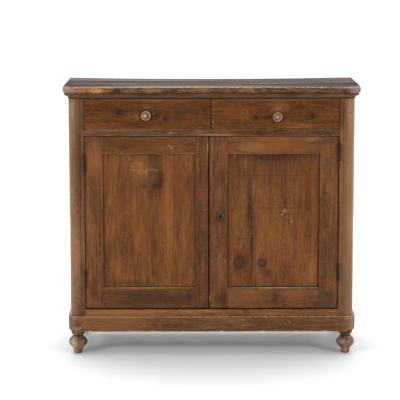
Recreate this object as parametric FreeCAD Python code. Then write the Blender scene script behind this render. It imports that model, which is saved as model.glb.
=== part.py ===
import FreeCAD, Part
import math
import os

V = FreeCAD.Vector

# Stained pine cupboard with two drawers above two panelled doors, in millimetres.
# X runs to the right seen from the front, Y to the back and Z up. The front face of the posts,
# rails, drawers and doors is Y = 0 while the pieces are drawn; the origin is set when they are saved.

# Heights, from the floor up
foot_height = 95.0
plinth_height = 63.0
bottom_rail_show = 29.0
door_opening_height = 708.0
drawer_rail_height = 28.0
drawer_opening_height = 120.0
top_rail_height = 21.0
top_thickness = 28.0

# Carcass
body_width = 1152.0
body_depth = 488.0
post_width = 63.0
front_post_depth = 63.0
rear_post_depth = 55.0
post_round = 47.0
post_groove_width = 2.2
post_groove_depth = 1.6
top_rail_depth = 50.0
drawer_rail_depth = 60.0
bottom_rail_height = 60.0
bottom_rail_thickness = 24.0
back_rail_height = 60.0
back_rail_thickness = 22.0
side_rail_thickness = 24.0
side_top_rail_height = 84.0
side_bottom_rail_height = 146.0
side_panel_thickness = 10.0
side_panel_recess = 8.0
back_board_count = 6
back_board_thickness = 12.0
back_rebate = 18.0
back_board_gap = 0.6
floor_thickness = 16.0
floor_ledge = 6.0
shelf_thickness = 18.0
shelf_rise = 350.0
shelf_setback = 60.0
batten_width = 18.0
batten_height = 24.0

# Joinery
rail_tenon = 25.0
tenon_thickness = 9.0
tenon_shoulder = 10.0
tenon_ease = 0.2
groove_depth = 8.0
groove_ease = 0.3
board_ease = 0.5

# Top, moulding and plinth
top_overhang = 24.0
top_back_overhang = 5.0
top_edge_round = 5.0
top_under_round = 11.0
front_board_width = 142.0
board_seam = 0.8
moulding_height = 20.0
moulding_reach = 18.0
moulding_foot = 3.0
moulding_swell = 1.7
plinth_reach = 9.5
plinth_edge_round = 3.0

# Turned feet: heights above the floor and radii
foot_inset = 30.0
rear_foot_inset = 36.0
stub_radius = 18.5
stub_height = 20.0
ball_radius = 37.3
ball_height = 43.5
neck_radius = 19.5
neck_height = 72.0
collar_radius = 30.0
collar_edge = 4.0
foot_tenon_radius = 12.0
foot_tenon_length = 40.0
foot_tenon_ease = 0.1

# Drawers
drawer_split = -3.0
drawer_gap = 1.5
drawer_front_thickness = 20.0
drawer_back_space = 24.0
drawer_side_thickness = 12.0
drawer_side_drop = 8.0
drawer_back_thickness = 12.0
drawer_back_drop = 8.0
drawer_bottom_thickness = 7.0
drawer_bottom_rise = 9.0
drawer_bottom_tongue = 5.0
drawer_seat = 0.3
divider_thickness = 18.0
divider_depth = 60.0
divider_seat = 0.3
runner_thickness = 16.0
runner_reach = 33.0
guide_height = 30.0
guide_width = 24.0
stop_length = 40.0
stop_depth = 16.0
stop_height = 6.0
stop_inset = 110.0
tail_count = 3
tail_width = 26.0
tail_flare = 3.5
tail_lap = 7.0
tail_ease = 0.1

# Knobs: radii, and reaches in front of the drawer
knob_offset = 263.5
left_knob_rise = 55.0
right_knob_rise = 50.0
knob_radius = 20.5
knob_reach = 31.0
knob_neck_radius = 8.5
knob_neck_reach = 8.0
knob_base_radius = 13.0
knob_base_reach = 3.0
knob_rim_reach = 21.0
knob_rim_width = 5.0
knob_rim_groove = 1.6
knob_button_radius = 5.5
knob_dome_reach = 27.0
knob_flare_radius = 13.0
knob_flare_reach = 15.5
knob_tenon_radius = 7.0
knob_tenon_ease = 0.1

# Doors
door_thickness = 22.0
door_gap = 2.0
meeting_offset = -11.5
meeting_gap = 4.0
left_hinge_stile = 72.0
left_lock_stile = 51.0
right_lock_stile = 74.0
right_hinge_stile = 76.0
door_top_rail = 73.0
door_bottom_rail = 87.0
door_tenon = 34.0
door_panel_thickness = 8.0
door_panel_recess = 9.0
panel_seam_offset = 97.0
panel_seam_width = 1.2
panel_seam_depth = 2.0

# Butt hinges: places measured from the door opening
left_upper_hinge_drop = 111.0
left_lower_hinge_rise = 125.0
right_upper_hinge_drop = 66.0
right_lower_hinge_rise = 152.0
hinge_height = 70.0
hinge_knuckles = 5
knuckle_radius = 5.0
knuckle_gap = 0.4
knuckle_clear = 0.3
hinge_leaf_thickness = 1.8
hinge_leaf_space = 0.4
hinge_leaf_depth = 20.0
hinge_leaf_root = 0.8
hinge_pin_radius = 2.4
hinge_pin_clearance = 0.05
hinge_pin_head_radius = 3.6
hinge_pin_head = 3.0
recess_ease = 0.3
screw_spacing = 24.0

# Countersunk screws
screw_head_radius = 3.2
screw_head_height = 1.6
screw_radius = 1.6
screw_length = 14.0
screw_ease = 0.1

# Lock and keyhole of the right door
keyhole_rise = 384.0
keyhole_backset = 44.5
keyhole_radius = 4.0
keyhole_slot = 5.0
keyhole_height = 16.0
lock_width = 70.0
lock_height = 56.0
lock_depth = 15.0
lock_wall = 2.0
lock_flange = 12.0
lock_edge_inset = 2.0
lock_bolt_height = 14.0
lock_bolt_thickness = 8.0
lock_bolt_rise = 8.0
lock_bolt_length = 56.0
lock_bolt_clearance = 0.3
lock_bolt_travel = 14.0
lock_screw_inset = 9.0
key_pin_radius = 2.2
spring_thickness = 0.8
spring_foot = 10.0
spring_length = 34.0
spring_width = 5.0
escutcheon_width = 27.0
escutcheon_height = 39.0
escutcheon_thickness = 1.2
escutcheon_shoulder = 14.0
escutcheon_waist = 22.0
escutcheon_waist_drop = 29.0
escutcheon_drop = 1.5
escutcheon_shift = 1.5

# Shooting bolt of the left door
bolt_radius = 4.0
bolt_clearance = 0.05
bolt_plate_width = 24.0
bolt_plate_height = 92.0
bolt_plate_thickness = 2.0
bolt_plate_drop = 6.0
bolt_staple_width = 15.0
bolt_staple_height = 10.0
bolt_staple_inset = 4.0
bolt_staple_wall = 2.5
bolt_screw_inset = 26.0
bolt_stand_off = 7.0
bolt_withdrawn = 2.0
bolt_travel = 14.0
bolt_tail = 8.0
bolt_knob_radius = 6.0
bolt_knob_reach = 12.0
bolt_knob_rise = 30.0
bolt_stem_radius = 3.0
bolt_keeper_ease = 0.8
bolt_keeper_spare = 3.0

# Levels and places worked out from the sizes above
plinth_top = foot_height + plinth_height
door_sill = plinth_top + bottom_rail_show
door_head = door_sill + door_opening_height
drawer_sill = door_head + drawer_rail_height
drawer_head = drawer_sill + drawer_opening_height
top_under = drawer_head + top_rail_height
height = top_under + top_thickness
half_body = body_width / 2
half_opening = half_body - post_width
corner_x = half_body - post_round
rear_post_front = body_depth - rear_post_depth
back_face = body_depth - back_board_thickness
back_rail_front = back_face - back_rail_thickness
back_edge = body_depth + top_back_overhang
drawer_depth = back_rail_front - drawer_back_space
foot_x = half_body - foot_inset
rear_foot_y = body_depth - rear_foot_inset
shelf_top = door_sill + shelf_rise
shelf_under = shelf_top - shelf_thickness
side_inner = half_body - side_panel_recess - side_panel_thickness
divider_front = drawer_front_thickness + divider_seat
divider_left = drawer_split - divider_thickness / 2
divider_right = drawer_split + divider_thickness / 2
door_low = door_sill + door_gap
door_high = door_head - door_gap
left_meeting = meeting_offset - meeting_gap / 2
right_meeting = meeting_offset + meeting_gap / 2
door_edge = half_opening - door_gap
hinge_x = half_opening - door_gap / 2
hinge_y = -(knuckle_radius + knuckle_clear)
left_hinge_heights = (door_sill + left_lower_hinge_rise, door_head - left_upper_hinge_drop)
right_hinge_heights = (door_sill + right_lower_hinge_rise, door_head - right_upper_hinge_drop)
keyhole_x = right_meeting + keyhole_backset
keyhole_z = door_sill + keyhole_rise
bolt_x = left_meeting - left_lock_stile / 2
bolt_y = door_thickness + bolt_plate_thickness + bolt_stand_off
bolt_top = door_high - bolt_withdrawn
front_reach = max(knob_reach, top_overhang)
origin_shift = V(0, (front_reach - back_edge) / 2, 0)
near = 0.001


def box(x0, x1, y0, y1, z0, z1):
    """A block between two corners, with the two ends of X in either order."""
    return Part.makeBox(abs(x1 - x0), y1 - y0, z1 - z0, V(min(x0, x1), y0, z0))


def grown(bounds, ease):
    """A block enlarged by a clearance on every side."""
    x0, x1, y0, y1, z0, z1 = bounds
    return box(min(x0, x1) - ease, max(x0, x1) + ease, y0 - ease, y1 + ease, z0 - ease, z1 + ease)


def joined(shapes):
    """One solid made of touching or crossing shapes."""
    return shapes[0].fuse(shapes[1:]).removeSplitter()


def mirrored(shape):
    """The same piece for the other side of the cupboard."""
    return shape.mirror(V(0, 0, 0), V(1, 0, 0))


def turned(outline, base, axis, across):
    """A turned piece from an outline of (radius, reach) points, where three in a tuple of points
    give an arc through the middle one."""
    def place(point):
        return base + across * point[0] + axis * point[1]

    edges = []
    last = outline[0]
    for step in outline[1:]:
        if isinstance(step[0], tuple):
            edges.append(Part.Arc(place(last), place(step[0]), place(step[1])).toShape())
            last = step[1]
        else:
            edges.append(Part.makeLine(place(last), place(step)))
            last = step
    edges.append(Part.makeLine(place(last), place(outline[0])))
    return Part.Face(Part.Wire(edges)).revolve(base, axis, 360)


def rounded_slab(half_width, y_front, y_back, radius, z0, z1):
    """A slab whose two front corners are rounded in plan."""
    cx = half_width - radius
    cy = y_front + radius
    slant = radius * math.sqrt(0.5)
    left_arc = Part.Arc(V(-half_width, cy, z0), V(-cx - slant, cy - slant, z0), V(-cx, y_front, z0))
    right_arc = Part.Arc(V(cx, y_front, z0), V(cx + slant, cy - slant, z0), V(half_width, cy, z0))
    edges = [
        left_arc.toShape(),
        Part.makeLine(V(-cx, y_front, z0), V(cx, y_front, z0)),
        right_arc.toShape(),
        Part.makeLine(V(half_width, cy, z0), V(half_width, y_back, z0)),
        Part.makeLine(V(half_width, y_back, z0), V(-half_width, y_back, z0)),
        Part.makeLine(V(-half_width, y_back, z0), V(-half_width, cy, z0)),
    ]
    return Part.Face(Part.Wire(edges)).extrude(V(0, 0, z1 - z0))


def rim_edges(slab, z, y_back):
    """The edges of a slab's front and ends at one height, leaving out its back edge."""
    level = [e for e in slab.Edges if all(abs(v.Z - z) < near for v in e.Vertexes)]
    return [e for e in level if not all(abs(v.Y - y_back) < near for v in e.Vertexes)]


def screw(place, direction, ease=0.0):
    """A countersunk screw driven in a direction from the face where its head lies, or its hole."""
    head = Part.makeCone(screw_head_radius + ease, screw_radius + ease, screw_head_height, place, direction)
    shank = Part.makeCylinder(screw_radius + ease, screw_length + ease, place, direction)
    return head.fuse(shank)


def cross_rail(x0, x1, y0, y1, z0, z1, lying):
    """A rail between two posts and the bounds of its left and right tenons.

    A lying rail has its tenons flat, and a rail on edge has them upright."""
    if lying:
        middle = (z0 + z1) / 2
        section = (y0 + tenon_shoulder, y1 - tenon_shoulder,
                   middle - tenon_thickness / 2, middle + tenon_thickness / 2)
    else:
        middle = (y0 + y1) / 2
        section = (middle - tenon_thickness / 2, middle + tenon_thickness / 2,
                   z0 + tenon_shoulder, z1 - tenon_shoulder)
    tenons = [(x0 - rail_tenon, x0) + section, (x1, x1 + rail_tenon) + section]
    return joined([box(x0, x1, y0, y1, z0, z1)] + [box(*t) for t in tenons]), tenons


# Frame of the carcass
top_front_rail, top_rail_tenons = cross_rail(
    -half_opening, half_opening, 0, top_rail_depth, drawer_head, top_under, True)
drawer_rail, drawer_rail_tenons = cross_rail(
    -half_opening, half_opening, 0, drawer_rail_depth, door_head, drawer_sill, True)
bottom_rail, bottom_rail_tenons = cross_rail(
    -half_opening, half_opening, 0, bottom_rail_thickness, door_sill - bottom_rail_height, door_sill, False)
back_rail_levels = [(top_under - back_rail_height, top_under), (door_head, drawer_sill),
                    (door_sill - bottom_rail_height, door_sill)]
back_rails = []
back_tenons = []
for low, high in back_rail_levels:
    rail, tenons = cross_rail(-half_opening, half_opening, back_rail_front, back_face, low, high, False)
    back_rails.append(rail)
    back_tenons.append(tenons[0])

# The floor board lies in rebates of the front and back bottom rails
floor_under = door_sill - floor_thickness
floor_board = joined([
    box(-half_opening + board_ease, half_opening - board_ease,
        bottom_rail_thickness - floor_ledge, back_rail_front + floor_ledge, floor_under, door_sill),
    box(-half_body + side_rail_thickness + board_ease, half_body - side_rail_thickness - board_ease,
        front_post_depth + board_ease, rear_post_front - board_ease, floor_under, door_sill),
])
floor_bed = box(-half_opening, half_opening, bottom_rail_thickness - floor_ledge,
                back_rail_front + floor_ledge, floor_under, door_sill)
bottom_rail = bottom_rail.cut(floor_bed)
back_rails[2] = back_rails[2].cut(floor_bed)

# The hole over the left door's shooting bolt
bolt_keeper = Part.makeCylinder(bolt_radius + bolt_keeper_ease,
                                bolt_top + bolt_travel + bolt_keeper_spare - door_head,
                                V(bolt_x, bolt_y, door_head))
drawer_rail = drawer_rail.cut(bolt_keeper)


def side_rail(z0, z1):
    """A rail of the left side and the bounds of its front and rear tenons."""
    middle = -half_body + side_rail_thickness / 2
    section_x = (middle - tenon_thickness / 2, middle + tenon_thickness / 2)
    section_z = (z0 + tenon_shoulder, z1 - tenon_shoulder)
    tenons = [section_x + (front_post_depth - rail_tenon, front_post_depth) + section_z,
              section_x + (rear_post_front, rear_post_front + rail_tenon) + section_z]
    rail = box(-half_body, -half_body + side_rail_thickness, front_post_depth, rear_post_front, z0, z1)
    return joined([rail] + [box(*t) for t in tenons]), tenons


side_top_low = top_under - side_top_rail_height
side_bottom_high = foot_height + side_bottom_rail_height
side_top_rail, side_top_tenons = side_rail(side_top_low, top_under)
side_bottom_rail, side_bottom_tenons = side_rail(foot_height, side_bottom_high)
panel_outer = -half_body + side_panel_recess
side_panel_bed = box(panel_outer, panel_outer + side_panel_thickness,
                     front_post_depth - groove_depth, rear_post_front + groove_depth,
                     side_bottom_high - groove_depth, side_top_low + groove_depth)
side_panel = box(panel_outer, panel_outer + side_panel_thickness,
                 front_post_depth - groove_depth + groove_ease, rear_post_front + groove_depth - groove_ease,
                 side_bottom_high - groove_depth + groove_ease, side_top_low + groove_depth - groove_ease)
left_side_rails = [side_top_rail.cut(side_panel_bed), side_bottom_rail.cut(side_panel_bed)]


def butt_hinge(z_mid):
    """One hinge of the left door: its leaves, pin, screws and the recesses in post and door."""
    z0 = z_mid - hinge_height / 2
    pitch = hinge_height / hinge_knuckles
    axis = V(-hinge_x, hinge_y, 0)

    def knuckle(i, radius, gap):
        return Part.makeCylinder(radius, pitch - gap, axis + V(0, 0, z0 + i * pitch + gap / 2))

    bore = Part.makeCylinder(hinge_pin_radius + hinge_pin_clearance, hinge_height, axis + V(0, 0, z0))
    root = hinge_y + hinge_pin_radius + hinge_leaf_root
    inner = hinge_leaf_space / 2
    outer = inner + hinge_leaf_thickness
    leaves = []
    screws = []
    holes = []
    recesses = []
    for side, parity, wood in ((-1, 0, half_opening), (1, 1, door_edge)):
        own = [i for i in range(hinge_knuckles) if i % 2 == parity]
        other = [i for i in range(hinge_knuckles) if i % 2 != parity]
        face = -hinge_x + side * inner
        seat = -hinge_x + side * outer
        plate = box(face, seat, root, hinge_leaf_depth, z0, z0 + hinge_height)
        leaf = joined([plate] + [knuckle(i, knuckle_radius, knuckle_gap) for i in own])
        cuts = [bore] + [knuckle(i, knuckle_radius + knuckle_clear, 0) for i in other]
        spots = [V(face, hinge_leaf_depth / 2, z_mid + k * screw_spacing) for k in (-1, 0, 1)]
        inward = V(side, 0, 0)
        leaf_screws = [screw(p, inward) for p in spots]
        leaf_holes = [screw(p, inward, screw_ease) for p in spots]
        leaves.append(leaf.cut(cuts + leaf_holes))
        screws.append(leaf_screws)
        holes.append(leaf_holes)
        mouth = -wood - side * near
        recesses.append(box(mouth, seat, -recess_ease, hinge_leaf_depth + recess_ease,
                            z0 - recess_ease, z0 + hinge_height + recess_ease))
    head = [(0, 0), (hinge_pin_head_radius, 0), (hinge_pin_head_radius, hinge_pin_head / 2),
            (hinge_pin_radius / 2, hinge_pin_head), (0, hinge_pin_head)]
    ends = ((z0 + hinge_height + hinge_pin_clearance, 1), (z0 - hinge_pin_clearance, -1))
    heads = [turned(head, axis + V(0, 0, z), V(0, 0, up), V(1, 0, 0)) for z, up in ends]
    shank = Part.makeCylinder(hinge_pin_radius, hinge_height + 2 * hinge_pin_clearance,
                              axis + V(0, 0, z0 - hinge_pin_clearance))
    return {"post_leaf": leaves[0], "door_leaf": leaves[1], "pin": joined([shank] + heads),
            "post_screws": screws[0], "door_screws": screws[1],
            "post_cuts": [recesses[0]] + holes[0], "door_cuts": [recesses[1]] + holes[1]}


left_hinges = [butt_hinge(z) for z in left_hinge_heights]
right_hinges = [butt_hinge(z) for z in right_hinge_heights]


def front_post(hinges):
    """A front post in the left place, rounded outside, with its mortises and hinge recesses."""
    post = rounded_slab(half_body, 0, body_depth, post_round, foot_height, top_under).common(
        box(-half_body, -half_opening, 0, front_post_depth, foot_height, top_under))
    groove = Part.makeCylinder(post_groove_width / 2, drawer_head - plinth_top,
                               V(-corner_x, post_groove_depth - post_groove_width / 2, plinth_top))
    mortises = [top_rail_tenons[0], drawer_rail_tenons[0], bottom_rail_tenons[0],
                side_top_tenons[0], side_bottom_tenons[0]]
    bore = Part.makeCylinder(foot_tenon_radius + foot_tenon_ease, foot_tenon_length + foot_tenon_ease,
                             V(-foot_x, foot_inset, foot_height))
    cuts = [groove, bore, side_panel_bed] + [grown(m, tenon_ease) for m in mortises]
    for hinge in hinges:
        cuts += hinge["post_cuts"]
    return post.cut(cuts)


def rear_post():
    """The left rear post with its mortises and the rebate for the back boards."""
    post = box(-half_body, -half_opening, rear_post_front, body_depth, foot_height, top_under)
    rebate = box(-half_opening - back_rebate, -half_opening, back_face, body_depth,
                 door_sill - bottom_rail_height, top_under)
    bore = Part.makeCylinder(foot_tenon_radius + foot_tenon_ease, foot_tenon_length + foot_tenon_ease,
                             V(-foot_x, rear_foot_y, foot_height))
    mortises = back_tenons + [side_top_tenons[1], side_bottom_tenons[1]]
    return post.cut([rebate, bore, side_panel_bed] + [grown(m, tenon_ease) for m in mortises])


# Boards that close the back and shelf inside
back_width = 2 * (half_opening + back_rebate) - 2 * board_ease
back_pitch = (back_width + back_board_gap) / back_board_count
back_boards = []
for i in range(back_board_count):
    left = -back_width / 2 + i * back_pitch
    back_boards.append(box(left, left + back_pitch - back_board_gap, back_face, body_depth,
                           door_sill - bottom_rail_height, top_under))
shelf = joined([
    box(-half_opening + board_ease, half_opening - board_ease, shelf_setback, back_face,
        shelf_under, shelf_top),
    box(-side_inner + board_ease, side_inner - board_ease, front_post_depth + board_ease,
        rear_post_front - board_ease, shelf_under, shelf_top),
])
batten = box(-side_inner, -side_inner + batten_width, front_post_depth, rear_post_front,
             shelf_under - batten_height, shelf_under)

# Drawer divider, runners and stops
divider = box(divider_left, divider_right, divider_front, divider_front + divider_depth,
              drawer_sill, drawer_head)
runner_low = drawer_sill - runner_thickness
outer_runner = joined([
    box(-half_opening, -half_opening + runner_reach, drawer_rail_depth, back_rail_front,
        runner_low, drawer_sill),
    box(-half_opening - guide_width, -half_opening, front_post_depth, rear_post_front,
        runner_low, drawer_sill + guide_height),
])
centre_runner = joined([
    box(divider_left - runner_reach, divider_right + runner_reach, drawer_rail_depth, back_rail_front,
        runner_low, drawer_sill),
    box(divider_left, divider_right, divider_front + divider_depth, back_rail_front,
        drawer_sill, drawer_sill + guide_height),
])
stop_front = drawer_front_thickness + drawer_seat
drawer_stops = []
for middle in (-half_opening + stop_inset, divider_left - stop_inset,
               divider_right + stop_inset, half_opening - stop_inset):
    drawer_stops.append(box(middle - stop_length / 2, middle + stop_length / 2,
                            stop_front, stop_front + stop_depth, drawer_sill, drawer_sill + stop_height))

# Top boards, one slab parted along a seam
top_slab = rounded_slab(half_body + top_overhang, -top_overhang, back_edge,
                        post_round + top_overhang, top_under, height)
top_slab = top_slab.makeFillet(top_edge_round, rim_edges(top_slab, height, back_edge))
top_slab = top_slab.makeFillet(top_under_round, rim_edges(top_slab, top_under, back_edge))
seam_y = front_board_width - top_overhang
half_top = half_body + top_overhang
top_front_board = top_slab.common(
    box(-half_top, half_top, -top_overhang, seam_y - board_seam / 2, top_under, height))
top_rear_board = top_slab.common(
    box(-half_top, half_top, seam_y + board_seam / 2, back_edge, top_under, height))


def moulding_section():
    """The ogee section of the moulding under the top, at the left end of its straight front run."""
    def place(reach, drop):
        return V(-corner_x, -reach, top_under - drop)

    lip = moulding_foot
    middle_reach = (moulding_reach + moulding_foot) / 2
    middle_drop = moulding_height / 2
    upper = ((moulding_reach + middle_reach) / 2 + moulding_swell, (lip + middle_drop) / 2 + moulding_swell)
    low = moulding_height - lip
    lower = ((moulding_foot + middle_reach) / 2 - moulding_swell, (low + middle_drop) / 2 - moulding_swell)
    edges = [
        Part.makeLine(place(0, 0), place(moulding_reach, 0)),
        Part.makeLine(place(moulding_reach, 0), place(moulding_reach, lip)),
        Part.Arc(place(moulding_reach, lip), place(*upper), place(middle_reach, middle_drop)).toShape(),
        Part.Arc(place(middle_reach, middle_drop), place(*lower), place(moulding_foot, low)).toShape(),
        Part.makeLine(place(moulding_foot, low), place(moulding_foot, moulding_height)),
        Part.makeLine(place(moulding_foot, moulding_height), place(0, moulding_height)),
        Part.makeLine(place(0, moulding_height), place(0, 0)),
    ]
    return Part.Face(Part.Wire(edges))


section = moulding_section()
top_moulding_front = section.extrude(V(2 * corner_x, 0, 0))
corner_axis = V(-corner_x, post_round, 0)
moulding_corner = section.revolve(corner_axis, V(0, 0, 1), -90)
side_section = section.copy()
side_section.rotate(corner_axis, V(0, 0, 1), -90)
moulding_return = joined([moulding_corner, side_section.extrude(V(0, body_depth - post_round, 0))])

# Plinth, a band round the feet of the posts
plinth_slab = rounded_slab(half_body + plinth_reach, -plinth_reach, body_depth,
                           post_round + plinth_reach, foot_height, plinth_top)
plinth_slab = plinth_slab.makeFillet(plinth_edge_round, rim_edges(plinth_slab, plinth_top, body_depth))
plinth_band = plinth_slab.cut(rounded_slab(half_body, 0, body_depth, post_round, foot_height, plinth_top))
plinth_front = plinth_band.common(
    box(-corner_x, corner_x, -plinth_reach, 0, foot_height, plinth_top))
plinth_return = plinth_band.common(
    box(-half_body - plinth_reach, -corner_x, -plinth_reach, body_depth, foot_height, plinth_top))

# One turned foot with the tenon that holds it in its post
collar_low = (neck_radius, neck_height + collar_edge)
collar_high = (collar_radius, foot_height - collar_edge)
hollow = math.sqrt(0.5)
collar_mid = (collar_radius - (collar_radius - neck_radius) * (1 - hollow),
              collar_low[1] + (collar_high[1] - collar_low[1]) * (1 - hollow))
foot_outline = [
    (0, 0),
    (stub_radius, 0),
    (stub_radius, stub_height),
    ((ball_radius, ball_height), (neck_radius, neck_height)),
    collar_low,
    (collar_mid, collar_high),
    (collar_radius, foot_height),
    (foot_tenon_radius, foot_height),
    (foot_tenon_radius, foot_height + foot_tenon_length),
    (0, foot_height + foot_tenon_length),
]


def foot(x, y):
    """A turned foot standing on the floor under a post."""
    return turned(foot_outline, V(x, y, 0), V(0, 0, 1), V(1, 0, 0))


def knob(x, z):
    """A turned knob whose tenon fills the hole in its drawer front."""
    rim_inner = knob_radius - knob_rim_width
    rim_back = knob_rim_reach - knob_rim_width / 2
    rim_front = knob_rim_reach + knob_rim_width / 2
    dome = ((rim_inner + knob_button_radius) / 2, knob_dome_reach - knob_rim_groove / 2)
    outline = [
        (0, -drawer_front_thickness),
        (knob_tenon_radius, -drawer_front_thickness),
        (knob_tenon_radius, 0),
        (knob_base_radius, 0),
        (knob_base_radius, knob_base_reach),
        (knob_neck_radius, knob_neck_reach),
        ((knob_flare_radius, knob_flare_reach), (knob_radius - knob_rim_width / 4, rim_back)),
        ((knob_radius, knob_rim_reach), (knob_radius - knob_rim_width / 2, rim_front)),
        (rim_inner, rim_front - knob_rim_groove),
        (dome, (knob_button_radius, knob_dome_reach)),
        (knob_button_radius, knob_reach - knob_rim_groove),
        (knob_button_radius - knob_rim_groove, knob_reach),
        (0, knob_reach),
    ]
    return turned(outline, V(x, 0, z), V(0, -1, 0), V(1, 0, 0))


def tails(x0, x1, z0, z1, ease):
    """Dovetail tails of one drawer side that reach into the drawer front, or their sockets."""
    pitch = (z1 - z0) / tail_count
    prisms = []
    for i in range(tail_count):
        middle = z0 + (i + 0.5) * pitch
        wide = tail_width / 2 + ease
        slim = tail_width / 2 - tail_flare + ease
        end = tail_lap - ease
        corners = [V(x0 - ease, drawer_front_thickness, middle - slim), V(x0 - ease, end, middle - wide),
                   V(x0 - ease, end, middle + wide), V(x0 - ease, drawer_front_thickness, middle + slim)]
        outline = Part.Face(Part.makePolygon(corners + corners[:1]))
        prisms.append(outline.extrude(V(x1 - x0 + 2 * ease, 0, 0)))
    return prisms


def drawer(front_x0, front_x1, box_x0, box_x1, knob_x, knob_z):
    """A dovetailed drawer: front, two sides, back, bottom and knob."""
    low = drawer_sill + drawer_seat
    high = drawer_head - drawer_side_drop
    inner_x0 = box_x0 + drawer_side_thickness
    inner_x1 = box_x1 - drawer_side_thickness
    bottom_low = low + drawer_bottom_rise
    bottom_high = bottom_low + drawer_bottom_thickness
    groove = box(inner_x0 - drawer_bottom_tongue, inner_x1 + drawer_bottom_tongue,
                 drawer_front_thickness - drawer_bottom_tongue, drawer_depth,
                 bottom_low, bottom_high)
    bottom = box(inner_x0 - drawer_bottom_tongue + groove_ease, inner_x1 + drawer_bottom_tongue - groove_ease,
                 drawer_front_thickness - drawer_bottom_tongue + groove_ease, drawer_depth,
                 bottom_low, bottom_high)
    front = box(front_x0, front_x1, 0, drawer_front_thickness,
                drawer_sill + drawer_gap, drawer_head - drawer_gap)
    knob_hole = Part.makeCylinder(knob_tenon_radius + knob_tenon_ease, drawer_front_thickness,
                                  V(knob_x, 0, knob_z), V(0, 1, 0))
    sockets = tails(box_x0, inner_x0, low, high, tail_ease) + tails(inner_x1, box_x1, low, high, tail_ease)
    front = front.cut([groove, knob_hole] + sockets)
    sides = []
    for x0, x1 in ((box_x0, inner_x0), (inner_x1, box_x1)):
        board = box(x0, x1, drawer_front_thickness, drawer_depth, low, high)
        sides.append(joined([board] + tails(x0, x1, low, high, 0)).cut(groove))
    back = box(inner_x0, inner_x1, drawer_depth - drawer_back_thickness, drawer_depth,
               bottom_high, high - drawer_back_drop)
    return {"front": [front], "sides": sides, "back": [back], "bottom": [bottom],
            "knob": [knob(knob_x, knob_z)]}


left_drawer = drawer(
    -half_opening + drawer_gap, drawer_split - drawer_gap,
    -half_opening + drawer_gap, divider_left - drawer_gap,
    -knob_offset, drawer_sill + left_knob_rise)
right_drawer = drawer(
    drawer_split + drawer_gap, half_opening - drawer_gap,
    divider_right + drawer_gap, half_opening - drawer_gap,
    knob_offset, drawer_sill + right_knob_rise)


def door(outer, hinge_stile_width, meeting, lock_stile_width):
    """A framed door between its hinge edge and its meeting edge: two stiles, two rails and a panel."""
    way = 1 if meeting > outer else -1
    hinge_inner = outer + way * hinge_stile_width
    lock_inner = meeting - way * lock_stile_width
    x0, x1 = min(hinge_inner, lock_inner), max(hinge_inner, lock_inner)
    z0, z1 = door_low + door_bottom_rail, door_high - door_top_rail
    y0, y1 = door_panel_recess, door_panel_recess + door_panel_thickness
    bed = box(x0 - groove_depth, x1 + groove_depth, y0, y1, z0 - groove_depth, z1 + groove_depth)
    slack = groove_depth - groove_ease
    panel = box(x0 - slack, x1 + slack, y0, y1, z0 - slack, z1 + slack)
    middle = (y0 + y1) / 2
    section_y = (middle - tenon_thickness / 2, middle + tenon_thickness / 2)
    rails = []
    mortises = []
    for low, high, panel_side in ((door_low, z0, 1), (z1, door_high, -1)):
        tenon_low = low + tenon_shoulder + (groove_depth if panel_side < 0 else 0)
        tenon_high = high - tenon_shoulder - (groove_depth if panel_side > 0 else 0)
        tenons = [(x0 - door_tenon, x0) + section_y + (tenon_low, tenon_high),
                  (x1, x1 + door_tenon) + section_y + (tenon_low, tenon_high)]
        rail = joined([box(x0, x1, 0, door_thickness, low, high)] + [box(*t) for t in tenons])
        rails.append(rail.cut(bed))
        mortises += [grown(t, tenon_ease) for t in tenons]
    hinge_stile = box(outer, hinge_inner, 0, door_thickness, door_low, door_high).cut([bed] + mortises)
    lock_stile = box(lock_inner, meeting, 0, door_thickness, door_low, door_high).cut([bed] + mortises)
    return {"hinge_stile": hinge_stile, "lock_stile": lock_stile, "rails": rails, "panel": panel}


left_door = door(-door_edge, left_hinge_stile, left_meeting, left_lock_stile)
right_door = door(door_edge, right_hinge_stile, right_meeting, right_lock_stile)
left_door_screws = []
right_door_screws = []
for hinge in left_hinges:
    left_door["hinge_stile"] = left_door["hinge_stile"].cut(hinge["door_cuts"])
    left_door_screws += hinge["door_screws"]
for hinge in right_hinges:
    right_door["hinge_stile"] = right_door["hinge_stile"].cut([mirrored(c) for c in hinge["door_cuts"]])
    right_door_screws += [mirrored(s) for s in hinge["door_screws"]]

# The right panel is two boards, and their joint has opened into a narrow seam in the lower half
seam_x = right_meeting + right_lock_stile + panel_seam_offset
panel_seam = box(seam_x - panel_seam_width / 2, seam_x + panel_seam_width / 2,
                 door_panel_recess, door_panel_recess + panel_seam_depth,
                 door_low + door_bottom_rail - groove_depth, keyhole_z + lock_height)
right_door["panel"] = right_door["panel"].cut(panel_seam)


def keyhole(y0, y1):
    """A keyhole between two depths: a round head and a straight slot below it."""
    head = Part.makeCylinder(keyhole_radius, y1 - y0, V(keyhole_x, y0, keyhole_z), V(0, 1, 0))
    foot_z = keyhole_z + keyhole_radius - keyhole_height
    slot = box(keyhole_x - keyhole_slot / 2, keyhole_x + keyhole_slot / 2, y0, y1, foot_z, keyhole_z)
    return head.fuse(slot)


right_door["lock_stile"] = right_door["lock_stile"].cut(keyhole(0, door_thickness))


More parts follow.
